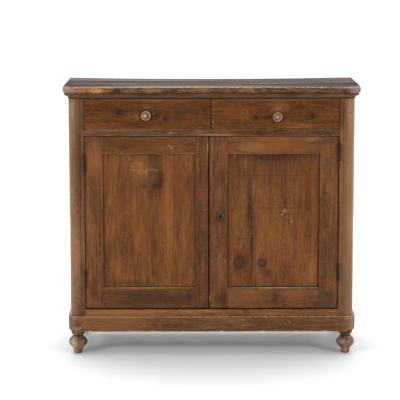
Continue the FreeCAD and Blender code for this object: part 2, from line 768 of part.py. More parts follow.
def shield():
    """The iron plate round the keyhole: square shoulders above and a point below."""
    x = keyhole_x + escutcheon_shift
    top = keyhole_z - escutcheon_drop + escutcheon_height / 2
    half = escutcheon_width / 2
    shoulder = top - escutcheon_shoulder
    tip = top - escutcheon_height
    waist_half = escutcheon_waist / 2
    waist = top - escutcheon_waist_drop

    def place(dx, z):
        return V(x + dx, 0, z)

    edges = [
        Part.makeLine(place(-half, top), place(half, top)),
        Part.makeLine(place(half, top), place(half, shoulder)),
        Part.Arc(place(half, shoulder), place(waist_half, waist), place(0, tip)).toShape(),
        Part.Arc(place(0, tip), place(-waist_half, waist), place(-half, shoulder)).toShape(),
        Part.makeLine(place(-half, shoulder), place(-half, top)),
    ]
    plate = Part.Face(Part.Wire(edges)).extrude(V(0, -escutcheon_thickness, 0))
    return plate.cut(keyhole(-escutcheon_thickness, 0))


# Rim lock behind the right door, its bolt drawn back
lock_x0 = right_meeting + lock_edge_inset
lock_x1 = lock_x0 + lock_width
lock_z0 = keyhole_z - lock_height / 2
lock_z1 = keyhole_z + lock_height / 2
lock_back = door_thickness + lock_depth
lock_roof = lock_z1 - lock_wall
lock_bolt_low = keyhole_z + lock_bolt_rise
lock_bolt_high = lock_bolt_low + lock_bolt_height
lock_middle = door_thickness + lock_depth / 2
lock_bolt_bounds = (lock_x0, lock_x0 + lock_bolt_length,
                    lock_middle - lock_bolt_thickness / 2, lock_middle + lock_bolt_thickness / 2,
                    lock_bolt_low, lock_bolt_high)
lock_bolt = box(*lock_bolt_bounds)
lock_hollow = box(lock_x0 + lock_wall, lock_x1 - lock_wall, door_thickness, lock_back - lock_wall,
                  lock_z0 + lock_wall, lock_roof)
flange_face = door_thickness + lock_wall
lock_spots = [V(x, flange_face, z)
              for x in (lock_x0 + lock_screw_inset, lock_x1 - lock_screw_inset)
              for z in (lock_z0 - lock_flange / 2, lock_z1 + lock_flange / 2)]
into_door = V(0, -1, 0)
lock_screws = [screw(p, into_door) for p in lock_spots]
lock_screw_holes = [screw(p, into_door, screw_ease) for p in lock_spots]
key_pin = Part.makeCylinder(key_pin_radius, lock_depth, V(keyhole_x, door_thickness, keyhole_z), V(0, 1, 0))
lock_shell = joined([
    box(lock_x0, lock_x1, door_thickness, lock_back, lock_z0, lock_z1),
    box(lock_x0, lock_x1, door_thickness, flange_face, lock_z0 - lock_flange, lock_z1 + lock_flange),
])
lock_case = joined([lock_shell.cut([lock_hollow, grown(lock_bolt_bounds, lock_bolt_clearance)]), key_pin])
lock_case = lock_case.cut(lock_screw_holes)
right_door["lock_stile"] = right_door["lock_stile"].cut(lock_screw_holes)
right_door_screws += lock_screws


def lock_spring():
    """A leaf spring that hangs from the roof of the lock case and bears on the bolt."""
    y = lock_middle - spring_width / 2
    foot_x1 = lock_x1 - lock_wall - spring_foot
    foot_x0 = foot_x1 - spring_foot
    tip_x = foot_x0 - spring_length
    tip_z = lock_bolt_high + lock_bolt_clearance
    corners = [V(foot_x1, y, lock_roof), V(foot_x0, y, lock_roof), V(tip_x, y, tip_z + spring_thickness),
               V(tip_x, y, tip_z), V(foot_x0, y, lock_roof - spring_thickness),
               V(foot_x1, y, lock_roof - spring_thickness)]
    return Part.Face(Part.makePolygon(corners + corners[:1])).extrude(V(0, spring_width, 0))


# Shooting bolt behind the left door's meeting stile, drawn down
plate_high = door_high - bolt_plate_drop
plate_low = plate_high - bolt_plate_height
plate_face = door_thickness + bolt_plate_thickness
half_plate = bolt_plate_width / 2
half_staple = bolt_staple_width / 2
staple_back = bolt_y + bolt_radius + bolt_staple_wall
staple_lows = (plate_low + bolt_staple_inset, plate_high - bolt_staple_inset - bolt_staple_height)
staples = [box(bolt_x - half_staple, bolt_x + half_staple, plate_face, staple_back, z, z + bolt_staple_height)
           for z in staple_lows]
plate_spots = [V(bolt_x, plate_face, z) for z in (plate_low + bolt_screw_inset, plate_high - bolt_screw_inset)]
plate_screws = [screw(p, into_door) for p in plate_spots]
plate_holes = [screw(p, into_door, screw_ease) for p in plate_spots]
bolt_bore = Part.makeCylinder(bolt_radius + bolt_clearance, bolt_plate_height, V(bolt_x, bolt_y, plate_low))
plate = box(bolt_x - half_plate, bolt_x + half_plate, door_thickness, plate_face, plate_low, plate_high)
bolt_plate = joined([plate] + staples).cut([bolt_bore] + plate_holes)
left_door["lock_stile"] = left_door["lock_stile"].cut(plate_holes)
left_door["rails"] = [r.cut(plate_holes) for r in left_door["rails"]]
left_door_screws += plate_screws
bolt_foot = plate_low - bolt_tail
knob_centre = V(bolt_x, bolt_y + bolt_knob_reach, plate_low + bolt_knob_rise)
bolt_stem = Part.makeCylinder(bolt_stem_radius, bolt_knob_reach, V(bolt_x, bolt_y, knob_centre.z), V(0, 1, 0))
shooting_bolt = joined([
    Part.makeCylinder(bolt_radius, bolt_top - bolt_foot, V(bolt_x, bolt_y, bolt_foot)),
    bolt_stem,
    Part.makeSphere(bolt_knob_radius, knob_centre),
])

# Every node and the separate solids that it holds
nodes = {
    "left_front_post": [front_post(left_hinges)],
    "right_front_post": [mirrored(front_post(right_hinges))],
    "left_rear_post": [rear_post()],
    "right_rear_post": [mirrored(rear_post())],
    "left_side_rails": left_side_rails,
    "right_side_rails": [mirrored(r) for r in left_side_rails],
    "left_side_panel": [side_panel],
    "right_side_panel": [mirrored(side_panel)],
    "top_front_rail": [top_front_rail],
    "drawer_rail": [drawer_rail],
    "bottom_rail": [bottom_rail],
    "back_rails": back_rails,
    "back_boards": back_boards,
    "floor_board": [floor_board],
    "shelf": [shelf],
    "shelf_battens": [batten, mirrored(batten)],
    "drawer_divider": [divider],
    "drawer_runners": [outer_runner, centre_runner, mirrored(outer_runner)],
    "drawer_stops": drawer_stops,
    "top_front_board": [top_front_board],
    "top_rear_board": [top_rear_board],
    "top_moulding_front": [top_moulding_front],
    "top_moulding_returns": [moulding_return, mirrored(moulding_return)],
    "plinth_front": [plinth_front],
    "plinth_returns": [plinth_return, mirrored(plinth_return)],
    "left_front_foot": [foot(-foot_x, foot_inset)],
    "right_front_foot": [foot(foot_x, foot_inset)],
    "left_rear_foot": [foot(-foot_x, rear_foot_y)],
    "right_rear_foot": [foot(foot_x, rear_foot_y)],
    "post_hinge_leaves": [h["post_leaf"] for h in left_hinges] + [mirrored(h["post_leaf"]) for h in right_hinges],
    "hinge_pins": [h["pin"] for h in left_hinges] + [mirrored(h["pin"]) for h in right_hinges],
    "post_hinge_screws": [s for h in left_hinges for s in h["post_screws"]]
                         + [mirrored(s) for h in right_hinges for s in h["post_screws"]],
    "left_door_hinge_stile": [left_door["hinge_stile"]],
    "left_door_lock_stile": [left_door["lock_stile"]],
    "left_door_rails": left_door["rails"],
    "left_door_panel": [left_door["panel"]],
    "left_door_hinge_leaves": [h["door_leaf"] for h in left_hinges],
    "left_door_screws": left_door_screws,
    "bolt_plate": [bolt_plate],
    "shooting_bolt": [shooting_bolt],
    "right_door_hinge_stile": [right_door["hinge_stile"]],
    "right_door_lock_stile": [right_door["lock_stile"]],
    "right_door_rails": right_door["rails"],
    "right_door_panel": [right_door["panel"]],
    "right_door_hinge_leaves": [mirrored(h["door_leaf"]) for h in right_hinges],
    "right_door_screws": right_door_screws,
    "keyhole_escutcheon": [shield()],
    "lock_case": [lock_case],
    "lock_bolt": [lock_bolt],
    "lock_spring": [lock_spring()],
}
for side, pieces in (("left", left_drawer), ("right", right_drawer)):
    for piece, solids in pieces.items():
        nodes[f"{side}_drawer_{piece}"] = solids

os.makedirs("parts", exist_ok=True)
for name, solids in nodes.items():
    placed = [s.translated(origin_shift) for s in solids]
    shape = placed[0] if len(placed) == 1 else Part.makeCompound(placed)
    if not shape.isValid() or any(len(s.Solids) != 1 for s in placed):
        raise ValueError(f"{name} is not made of whole solids")
    shape.exportStep(f"parts/{name}.step")
print(len(nodes), "nodes,", round(height), "mm high")
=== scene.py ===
"""Looks of an old pine cupboard, two drawers over two panelled doors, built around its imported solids."""
import logging
import math
from dataclasses import dataclass, replace
from enum import Enum

import bpy
import numpy as np
from mathutils import Matrix, Vector


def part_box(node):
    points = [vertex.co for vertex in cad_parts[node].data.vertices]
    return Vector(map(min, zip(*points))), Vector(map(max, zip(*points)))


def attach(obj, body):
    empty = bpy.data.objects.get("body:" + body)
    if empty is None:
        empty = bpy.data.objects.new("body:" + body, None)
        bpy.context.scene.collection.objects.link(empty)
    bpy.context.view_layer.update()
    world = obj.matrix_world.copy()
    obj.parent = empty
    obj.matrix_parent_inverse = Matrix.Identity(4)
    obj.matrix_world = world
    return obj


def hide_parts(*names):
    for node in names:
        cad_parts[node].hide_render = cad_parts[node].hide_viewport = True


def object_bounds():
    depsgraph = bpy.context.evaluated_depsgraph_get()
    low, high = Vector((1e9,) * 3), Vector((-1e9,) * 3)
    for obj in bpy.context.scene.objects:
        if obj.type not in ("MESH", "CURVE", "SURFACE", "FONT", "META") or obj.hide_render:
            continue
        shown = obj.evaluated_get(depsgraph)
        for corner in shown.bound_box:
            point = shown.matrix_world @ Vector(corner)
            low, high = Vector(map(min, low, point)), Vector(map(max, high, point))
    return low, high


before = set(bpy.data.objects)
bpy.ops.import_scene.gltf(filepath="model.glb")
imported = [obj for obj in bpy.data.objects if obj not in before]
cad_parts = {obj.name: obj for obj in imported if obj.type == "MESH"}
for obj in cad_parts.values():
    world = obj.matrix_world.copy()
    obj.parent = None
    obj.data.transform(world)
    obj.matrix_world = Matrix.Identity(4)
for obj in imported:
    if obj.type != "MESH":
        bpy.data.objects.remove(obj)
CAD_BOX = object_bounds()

Tree, Node, Socket = bpy.types.NodeTree, bpy.types.Node, bpy.types.NodeSocket
Material = bpy.types.Material

log = logging.getLogger("cupboard")
MM = 0.001
TO_MM = 1000
# Reach of marks that run along a whole piece or go right through it, in millimetres
ALONG = 4000
THROUGH = 2000
# Dark of dirt and old wax in joints and holes, also used for painted shade along gaps and recesses
DIRT_AND_SHADE = "#1d1007"
RIGHTWARDS, BACKWARDS, UPWARDS = Vector((1, 0, 0)), Vector((0, 1, 0)), Vector((0, 0, 1))
MIRROR = np.array([-1.0, 1.0])
SHARP_ANGLE = math.radians(50)
# Radius in plan of the carcass's front corners
POST_ROUND = 47 * MM


class Grain(Enum):
    """Way the grain runs, as the order (along, across, through) of the axes X, Y and Z."""

    ALONG_X = (0, 2, 1)
    ALONG_Y = (1, 2, 0)
    ALONG_Z = (2, 0, 1)
    TOP_X = (0, 1, 2)
    SIDE_Z = (2, 1, 0)


@dataclass(frozen=True)
class Knot:
    """A knot in the wood, in millimetres: its place on the face, across then up or back, and its radius."""

    x: float
    z: float
    radius: float


@dataclass(frozen=True)
class Mark:
    """A worn, stained or scratched place, a patch of painted shade or a painted highlight, in millimetres:
    an ellipsoid that takes a colour by a strength.

    The colour fades from the middle to the rim: soft is the share of the reach that the fading takes, and
    ragged says how uneven it is.
    """

    x: float
    z: float
    wide: float
    high: float
    colour: str
    strength: float
    y: float = 0.0
    deep: float = THROUGH
    tilt: float = 0.0
    ragged: float = 1.0
    soft: float = 1.0


def linear(code: str) -> tuple[float, float, float, float]:
    """Linear colour of an sRGB hex code.

    Args:
        code: six hex digits after a hash.
    Returns:
        Red, green, blue and an alpha of one.
    """
    parts = [int(code[i:i + 2], 16) / 255 for i in (1, 3, 5)]
    return tuple(p / 12.92 if p <= 0.04045 else ((p + 0.055) / 1.055) ** 2.4 for p in parts) + (1.0,)


def edge_shade(low: np.ndarray, high: np.ndarray, width: float, strength: float,
              across: int = 0) -> tuple[Mark, ...]:
    """Lines of dirt along the four edges of an upright rectangle, which run a little past its corners.

    Args:
        low: lowest corner in metres.
        high: highest corner.
        width: reach of the painted shade from the edge in millimetres.
        strength: strength of the painted shade.
        across: axis of the rectangle's width, 0 where it faces the front and 1 where it faces a side.
    Returns:
        Four marks.
    """
    past = 1.3
    a0, z0, a1, z1 = (TO_MM * corner[axis] for corner in (low, high) for axis in (across, 2))
    a, z, wide, tall = (a0 + a1) / 2, (z0 + z1) / 2, past * (a1 - a0), past * (z1 - z0)
    places = ((a, z1, wide, width), (a, z0, wide, width), (a0, z, width, tall), (a1, z, width, tall))
    if across == 0:
        return tuple(Mark(*place, DIRT_AND_SHADE, strength) for place in places)
    return tuple(Mark(0, level, THROUGH, rise, DIRT_AND_SHADE, strength, y=depth, deep=reach)
                 for depth, level, reach, rise in places)


def on_front(marks: tuple[Mark, ...], low: np.ndarray, high: np.ndarray) -> tuple[Mark, ...]:
    """Marks drawn in from all depths to the front face of a box, which leaves its back and edges clean.

    Args:
        marks: marks with any depth.
        low: lowest corner of the box in metres.
        high: highest corner.
    Returns:
        The same marks on the front face.
    """
    # Share of the thickness that a mark reaches into
    skin = 0.65
    face = TO_MM * float(low[1])
    reach = skin * TO_MM * float(high[1] - low[1])
    return tuple(replace(m, y=face, deep=reach) for m in marks)


def put(tree: Tree, kind: str, *inputs: object, **settings: object) -> Node:
    """Adds a node, with its settings and links.

    Args:
        tree: node tree that gets the node.
        kind: node class after its common prefix.
        inputs: values, nodes or sockets in socket order, or one dictionary by socket name; None skips one.
        settings: attributes of the node.
    Returns:
        The new node, whose first output is used where it is an input.
    """
    made = tree.nodes.new("ShaderNode" + kind)
    for key, value in settings.items():
        setattr(made, key, value)
    pairs = inputs[0].items() if inputs and isinstance(inputs[0], dict) else enumerate(inputs)
    for place, value in pairs:
        if isinstance(value, Node):
            value = value.outputs[0]
        if isinstance(value, Socket):
            tree.links.new(value, made.inputs[place])
        elif value is not None:
            made.inputs[place].default_value = value
    return made


def tinted(tree: Tree, colour: Node, pattern: Node | Socket, start: float, full: float, strength: float,
           tint: str) -> Node:
    """Lays a tint over a colour where a pattern runs from a start to a full value.

    Args:
        tree: node tree.
        colour: colour so far.
        pattern: pattern that says where the tint lies.
        start: value of the pattern at which the tint begins.
        full: value at which it is strongest.
        strength: its share there.
        tint: its hex code.
    Returns:
        The colour with the tint.
    """
    share = put(tree, "MapRange", pattern, start, full, 0.0, strength)
    return put(tree, "MixRGB", share, colour, linear(tint))


def new_material(name: str) -> tuple[Material, Tree, Socket]:
    """Makes a material whose tree holds nothing but the coordinates of its piece.

    Args:
        name: its name.
    Returns:
        The material, its node tree and the place on the piece that its patterns read.
    """
    material = bpy.data.materials.new(name)
    material.use_nodes = True
    tree = material.node_tree
    tree.nodes.clear()
    return material, tree, put(tree, "TexCoord").outputs["Object"]


@dataclass(frozen=True)
class Pine:
    """Pine, sawn and planed by hand, stained and waxed.

    The eye sees clouds of uneven stain, soft streaks and short fibres along the grain, a few red places
    where the stain is fresh, specks of dirt, small dents, and arrises that hands and cloths have rubbed
    pale. The sizes are widths across the grain, or spacings.
    """

    label: str
    dark: str
    body: str
    light: str
    glow: str
    rubbed: str = "#9a7650"
    rub: float = 0.5
    warm: float = 0.15
    cool: float = 0.2
    red: float = 0.3
    grime: float = 0.35
    contrast: float = 1.0
    roughness: float = 0.48
    cloud: float = 60 * MM
    streak: float = 15 * MM
    fibre: float = 4.5 * MM
    ring: float = 11 * MM
    wander: float = 24 * MM
    shares: tuple[float, float, float] = (0.38, 0.34, 0.28)
    ring_share: float = 0.008
    fleck: tuple[float, float, float] = (0.55, 0.48, 0.7)
    speck: float = 0.21
    dent: float = 0.36
    scuff: float = 0.14
    knot_depth: float = 1.0
    knot_swell: float = 16 * MM
    worm: float = 0.75
    gloss: float = 0.1
    board: float = 0.0
    blotch: float = 14 * MM
    fleck_long: float = 65 * MM
    fleck_wide: float = 7 * MM
    knock: float = 13 * MM
    worm_apart: float = 34 * MM

    def material(self, name: str, grain: Grain, knots: tuple[Knot, ...] = (),
                 marks: tuple[Mark, ...] = ()) -> Material:
        """Wood of this finish for one piece.

        Args:
            name: name of the material, which also seeds the place that its pattern is cut from.
            grain: way that the grain runs.
            knots: knots of the piece.
            marks: wear, stains, painted shade and painted highlights of the piece, from the lowest to the
                topmost.
        Returns:
            The material.
        """
        material, t, here = new_material(f"{self.label}_{name}")
        axes = put(t, "SeparateXYZ", here)
        laid = put(t, "CombineXYZ", *(axes.outputs[i] for i in grain.value))
        cut = tuple(np.random.default_rng(list(name.encode())).uniform(2, 9, 3).tolist())
        laid = put(t, "VectorMath", laid, cut, operation="ADD")
        near = self.nearest_knot(t, here, grain, knots)
        tone, fibres = self.grain_tone(t, laid, near)
        ragged = put(t, "TexNoise", {"Vector": here, "Scale": 1 / self.blotch, "Detail": 4.0,
                                     "Roughness": 0.68})
        colour = self.tree_colour(t, tone, axes.outputs[grain.value[1]])
        colour = self.stained(t, colour, laid, ragged)
        colour = self.flecked(t, colour, laid)
        colour = self.knocked(t, colour, here)
        if near is not None:
            colour = self.knotted(t, colour, near, ragged)
        colour = self.rubbed_bare(t, colour, ragged)
        for mark in marks:
            colour = self.marked(t, colour, here, ragged, mark)
        dull = put(t, "MapRange", tone, 0.4, 0.6, self.roughness + 0.07, self.roughness - 0.05)
        relief = put(t, "Bump", {"Strength": 0.35, "Distance": 0.7 * MM, "Height": fibres})
        wood = put(t, "BsdfPrincipled", {"Base Color": colour, "Roughness": dull, "Normal": relief,
                                         "Specular IOR Level": self.gloss})
        put(t, "OutputMaterial", wood)
        return material

    def nearest_knot(self, t: Tree, here: Socket, grain: Grain, knots: tuple[Knot, ...]) -> Socket | None:
        """Distance to the nearest knot in radii, longer along the grain.

        Args:
            t: node tree.
            here: place on the piece.
            grain: way that the grain runs.
            knots: knots of the piece.
        Returns:
            The distance, or None for a clear piece.
        """
        near, oval = None, 1.3
        first, second = sorted(grain.value[:2])
        for knot in knots:
            size = [1.0, 1.0, 1.0]
            size[grain.value[0]] = oval * knot.radius * MM
            size[grain.value[1]] = knot.radius * MM
            place = [0.0, 0.0, 0.0]
            place[first], place[second] = knot.x * MM, knot.z * MM
            spot = put(t, "Mapping", here, tuple(place), None, tuple(size), vector_type="TEXTURE")
            reach = put(t, "VectorMath", spot, operation="LENGTH").outputs["Value"]
            near = reach if near is None else put(t, "Math", near, reach, operation="MINIMUM").outputs[0]
        return near

    def grain_tone(self, t: Tree, laid: Node, near: Socket | None) -> tuple[Node, Node]:
        """Tone of the grain: clouds, streaks and fibres, each a noise drawn out along it, and year lines.

        Args:
            t: node tree.
            laid: place along, across and through the grain.
            near: distance to the nearest knot, round which the grain flows.
        Returns:
            The tone, about a half, and its fibres.
        """
        # The grain line wanders slowly, within half a metre along the board and an eighth across
        slow = put(t, "VectorMath", laid, (1.8, 8.0, 8.0), operation="MULTIPLY")
        wander = put(t, "TexNoise", {"Vector": slow, "Scale": 1.0, "Detail": 2.0}).outputs[1]
        bent = put(t, "VectorMath", wander, (0.0, self.wander, 0.0), laid, operation="MULTIPLY_ADD")
        if near is not None:
            swell = put(t, "MapRange", near, 0.5, 4.0, self.knot_swell, 0.0,
                        interpolation_type="SMOOTHERSTEP")
            bent = put(t, "VectorMath", bent, put(t, "CombineXYZ", None, swell), operation="ADD")
        tone, lines = 0.0, None
        sizes = ((3.5, self.cloud), (20, self.streak), (16, self.fibre))
        for share, (drawn_out, width) in zip(self.shares, sizes):
            stretch = (1 / (drawn_out * width), 1 / width, 1 / width)
            stretched = put(t, "VectorMath", bent, stretch, operation="MULTIPLY")
            lines = put(t, "TexNoise", {"Vector": stretched, "Scale": 1.0, "Detail": 3.0, "Roughness": 0.6})
            tone = put(t, "Math", lines, share, tone, operation="MULTIPLY_ADD")
        # Late wood of each year as a soft line along the grain
        across = put(t, "SeparateXYZ", bent).outputs[1]
        years = put(t, "Math", across, 2 * math.pi / self.ring, operation="MULTIPLY")
        late = put(t, "Math", years, operation="SINE")
        return put(t, "Math", late, self.ring_share, tone, operation="MULTIPLY_ADD"), lines

    def tree_colour(self, t: Tree, tone: Node, across: Socket) -> Node:
        """Colour of a tone, which differs a little from tree to tree where the piece has several boards.

        Args:
            t: node tree.
            tone: tone of the grain.
            across: place across the boards.
        Returns:
            The colour.
        """
        # Most tones lie within this much of a half
        half = 0.14 / self.contrast
        ramp = put(t, "ValToRGB", put(t, "MapRange", tone, 0.5 - half, 0.5 + half))
        stops = ramp.color_ramp.elements
        stops[0].color = linear(self.dark)
        stops[1].color = linear(self.glow)
        stops.new(0.42).color = linear(self.body)
        stops.new(0.72).color = linear(self.light)
        if not self.board:
            return ramp
        count = put(t, "Math", across, self.board, operation="DIVIDE")
        index = put(t, "Math", count, operation="FLOOR")
        draw = put(t, "TexWhiteNoise", None, index, noise_dimensions="1D")
        lift = put(t, "MapRange", draw, 0.0, 1.0, 0.82, 1.14)
        return put(t, "VectorMath", ramp, None, None, lift, operation="SCALE")

    def stained(self, t: Tree, colour: Node, laid: Node, ragged: Node) -> Node:
        """Stain: fresh and orange in places, dead and grey in others, with red specks and specks of dirt.

        Args:
            t: node tree.
            colour: colour of the wood.
            laid: place along, across and through the grain.
            ragged: fine uneven noise.
        Returns:
            The stained colour.
        """
        # Places about 125 mm long and 59 mm wide
        slow = put(t, "VectorMath", laid, (8.0, 17.0, 17.0), operation="MULTIPLY")
        stain = put(t, "TexNoise", {"Vector": slow, "Scale": 1.0, "Detail": 3.0, "Roughness": 0.6})
        for noise, start, full, strength, tint in ((stain, 0.5, 0.66, self.warm, "#8a5426"),
                                                   (stain, 0.48, 0.34, self.cool, "#4a3325"),
                                                   (ragged, 0.42, 0.3, self.red, "#7c3316"),
                                                   (ragged, 0.57, 0.72, self.grime, "#23140a")):
            colour = tinted(t, colour, noise, start, full, strength, tint)
        return colour

    def flecked(self, t: Tree, colour: Node, laid: Node) -> Node:
        """Flecks of slightly different hue, as old wax and light leave them, drawn wider than real to show.

        Args:
            t: node tree.
            colour: colour so far.
            laid: place along, across and through the grain.
        Returns:
            The colour with its flecks.
        """
        size = (1 / self.fleck_long, 1 / self.fleck_wide, 1 / self.fleck_wide)
        short = put(t, "VectorMath", laid, size, operation="MULTIPLY")
        flecks = put(t, "TexNoise", {"Vector": short, "Scale": 1.0, "Detail": 2.0, "Roughness": 0.6})
        least = tuple(1 - f / 2 for f in self.fleck)
        hues = put(t, "VectorMath", flecks.outputs[1], self.fleck, least, operation="MULTIPLY_ADD")
        colour = put(t, "VectorMath", colour, hues, operation="MULTIPLY")
        pores = put(t, "MapRange", flecks, 0.3, 0.7, 1 - self.speck, 1 + self.speck)
        return put(t, "VectorMath", colour, None, None, pores, operation="SCALE")

    def knocked(self, t: Tree, colour: Node, here: Socket) -> Node:
        """Dents full of old wax, pale scuffs and worm holes, drawn wider than the real ones to show.

        Args:
            t: node tree.
            colour: colour so far.
            here: place on the piece.
        Returns:
            The colour with its knocks.
        """
        knocks = put(t, "TexNoise", {"Vector": here, "Scale": 1 / self.knock, "Detail": 2.0,
                                     "Roughness": 0.6})
        colour = tinted(t, colour, knocks, 0.6, 0.72, self.dent, "#24150b")
        colour = tinted(t, colour, knocks, 0.4, 0.29, self.scuff, self.rubbed)
        holes = put(t, "TexVoronoi", {"Vector": here, "Scale": 1 / self.worm_apart})
        return tinted(t, colour, holes, 0.075, 0.045, self.worm, "#170c05")

    def knotted(self, t: Tree, colour: Node, near: Socket, ragged: Node) -> Node:
        """Knots with a dark heart, a paler ring and a dark bark line.

        Args:
            t: node tree.
            colour: colour so far.
            near: distance to the nearest knot in radii.
            ragged: fine uneven noise.
        Returns:
            The colour with its knots.
        """
        inner = put(t, "Math", near, 0.4, operation="MULTIPLY")
        edge = put(t, "Math", ragged, 0.35, inner, operation="MULTIPLY_ADD")
        depth = put(t, "ValToRGB", edge)
        levels = depth.color_ramp.elements
        levels[1].color = (0.0, 0.0, 0.0, 1.0)
        for place, level in ((0.2, 0.9), (0.3, 0.8), (0.38, 0.3), (0.46, 0.25), (0.56, 0.6), (0.7, 0.25)):
            levels.new(place).color = (*(3 * [self.knot_depth * level]), 1.0)
        levels.remove(levels[0])
        return put(t, "MixRGB", depth, colour, linear("#241207"))

    def rubbed_bare(self, t: Tree, colour: Node, ragged: Node) -> Node:
        """Wear of the mesh: dirt where it is below zero, patches rubbed bare where it is above.

        Args:
            t: node tree.
            colour: colour so far.
            ragged: fine uneven noise.
        Returns:
            The worn colour.
        """
        wear = put(t, "Attribute", attribute_name="wear").outputs["Fac"]
        colour = tinted(t, colour, wear, -0.15, -0.9, 0.75, "#1f120a")
        patchy = put(t, "MapRange", ragged, 0.36, 0.62, 0.1 * self.rub, self.rub)
        worn = put(t, "Math", put(t, "MapRange", wear), patchy, operation="MULTIPLY")
        return put(t, "MixRGB", worn, colour, linear(self.rubbed))

    def marked(self, t: Tree, colour: Node, here: Socket, ragged: Node, mark: Mark) -> Node:
        """Lays a mark over the colour: full in its middle, fading to its uneven rim.

        Args:
            t: node tree.
            colour: colour so far.
            here: place on the piece.
            ragged: fine uneven noise.
            mark: the mark.
        Returns:
            The colour with the mark.
        """
        spot = put(t, "Mapping", here, (mark.x * MM, mark.y * MM, mark.z * MM), (0.0, mark.tilt, 0.0),
                   (mark.wide * MM, mark.deep * MM, mark.high * MM), vector_type="TEXTURE")
        reach = put(t, "VectorMath", spot, operation="LENGTH").outputs["Value"]
        edge = put(t, "Math", ragged, mark.ragged, reach, operation="MULTIPLY_ADD")
        rim = 1.0 + 0.5 * mark.ragged
        return tinted(t, colour, edge, rim, rim - 0.85 * mark.soft, mark.strength, mark.colour)


@dataclass(frozen=True)
class Iron:
    """Hand-forged iron, blackened by wax and age, with brown rust in its pits.

    The eye sees a dull dark skin with paler high places. The pits are drawn wider than real ones to show.
    """

    label: str = "blackened_iron"
    dark: str = "#1a110b"
    worn: str = "#3b2c1f"
    rust: str = "#482b18"
    pit: float = 5 * MM

    def material(self, name: str) -> Material:
        """Iron for one piece: dark in its pits, brown where rust has spread, dull all over.

        Args:
            name: name of the piece.
        Returns:
            The material.
        """
        material, t, here = new_material(f"{self.label}_{name}")
        beaten = put(t, "TexNoise", {"Vector": here, "Scale": 1 / self.pit, "Detail": 4.0,
                                     "Roughness": 0.6})
        spread = put(t, "TexNoise", {"Vector": here, "Scale": 1 / (3 * self.pit), "Detail": 2.0})
        tone = put(t, "MapRange", beaten, 0.4, 0.75)
        colour = put(t, "MixRGB", tone, linear(self.dark), linear(self.worn))
        colour = tinted(t, colour, spread, 0.5, 0.7, 0.7, self.rust)
        dull = put(t, "MapRange", spread, 0.4, 0.7, 0.42, 0.75)
        relief = put(t, "Bump", {"Strength": 0.5, "Distance": 0.4 * MM, "Height": beaten})
        metal = put(t, "BsdfPrincipled", {"Base Color": colour, "Metallic": 0.15, "Roughness": dull,
                                          "Normal": relief, "Specular IOR Level": 0.2})
        put(t, "OutputMaterial", metal)
        return material


# Rail over the drawers: brown stain under old wax
FRAME_PINE = Pine("stained_pine", "#5a371c", "#724829", "#815531", "#93633c")
# Posts and side rails: the same stain, polished by sleeves, so that the round corners shine a little
POST_PINE = replace(FRAME_PINE, dark="#492d15", body="#5e3b1e", light="#6c4726", glow="#7e5733", gloss=0.22,
                    roughness=0.36, contrast=1.2, dent=0.5, speck=0.26)
# Rail under the drawers: darker, where wax and dust have gathered
RAIL_PINE = Pine("stained_pine", "#3e2610", "#533319", "#613d20", "#734a29")
# Rail under the doors: paler, rubbed by shoes and brooms
SILL_PINE = Pine("stained_pine", "#5f3b20", "#7a4f2f", "#8b5c38", "#9c6b45")
# Door frames: even brown with little rubbing, and darker on the left door's meeting stile
DOOR_PINE = Pine("door_frame_pine", "#4b2b14", "#623b1f", "#714627", "#82522f", rub=0.22)
DARK_DOOR_PINE = replace(DOOR_PINE, dark="#422713", body="#58351c", light="#663f22", glow="#744829")
# Door panels: wide calm boards, orange brown, with soft knots
PANEL_PINE = Pine("panel_pine", "#4f2d14", "#693f1d", "#784a24", "#8b582e", knot_depth=0.7, contrast=0.85)
# Side panels: the same boards a shade darker
SIDE_PINE = replace(PANEL_PINE, dark="#472812", body="#5e381a", light="#6b4220", glow="#7c4f2a")
# Drawer fronts: the warmest and darkest wood of the front
DRAWER_PINE = Pine("drawer_front_pine", "#3f2007", "#552e0c", "#633810", "#734315", red=0.16)
# Moulding under the top: dry and dusty
MOULDING_PINE = Pine("moulding_pine", "#33210f", "#523722", "#65482d", "#7a5c3b", roughness=0.55)
# Plinth: brown, its arrises rubbed pale, and its upper arris paler still as a painted highlight
PLINTH_PINE = Pine("plinth_pine", "#4a2f1b", "#67452a", "#795334", "#8c6642", rubbed="#c89562", rub=1.0,
                   contrast=0.8)
# Top: bare and grey, with long streaks of hard late wood and no shine
TOP_PINE = Pine("weathered_top_pine", "#332925", "#473b35", "#5a4c44", "#70615a", rubbed="#d3bfad", rub=0.9,
                warm=0.1, cool=0.3, red=0.1, roughness=0.75, gloss=0.02, contrast=1.4, cloud=140 * MM,
                streak=55 * MM, fibre=10 * MM, wander=8 * MM, shares=(0.25, 0.5, 0.25))
# Rim of the top: mottled by knocks, from nearly black to orange
RIM_PINE = Pine("rim_pine", "#2e1b0e", "#4d321f", "#65452d", "#855f40", rubbed="#c4ac98", rub=0.9,
                grime=0.6, contrast=1.3, cloud=9 * MM, streak=6 * MM, fibre=3 * MM, shares=(0.6, 0.2, 0.2),
                roughness=0.6)
# Feet: turned, bare on the swell and dusty in the neck
FOOT_PINE = Pine("turned_foot_pine", "#4b3624", "#80664c", "#a2886d", "#bfa48b", rubbed="#b3977a",
                 cloud=24 * MM, streak=12 * MM, contrast=1.4, warm=0.2, cool=0.3, grime=0.6, worm=0.4,
                 shares=(0.64, 0.21, 0.15), speck=0.1)
# Knobs: pale turned wood, handled for long, pinkish on the left drawer and tan on the right one
PINK_KNOB_WOOD = Pine("turned_knob_wood", "#664737", "#967058", "#b58f74", "#cea98b", rubbed="#cea98c",
                      rub=0.6, cloud=20 * MM, streak=6 * MM, fibre=2.5 * MM, grime=0.5, worm=0.0,
                      fleck=(0.7, 0.6, 0.9))
TAN_KNOB_WOOD = replace(PINK_KNOB_WOOD, dark="#5e442b", body="#8b6b4b", light="#a5835f", glow="#bb9873",
                        rubbed="#b6946e")
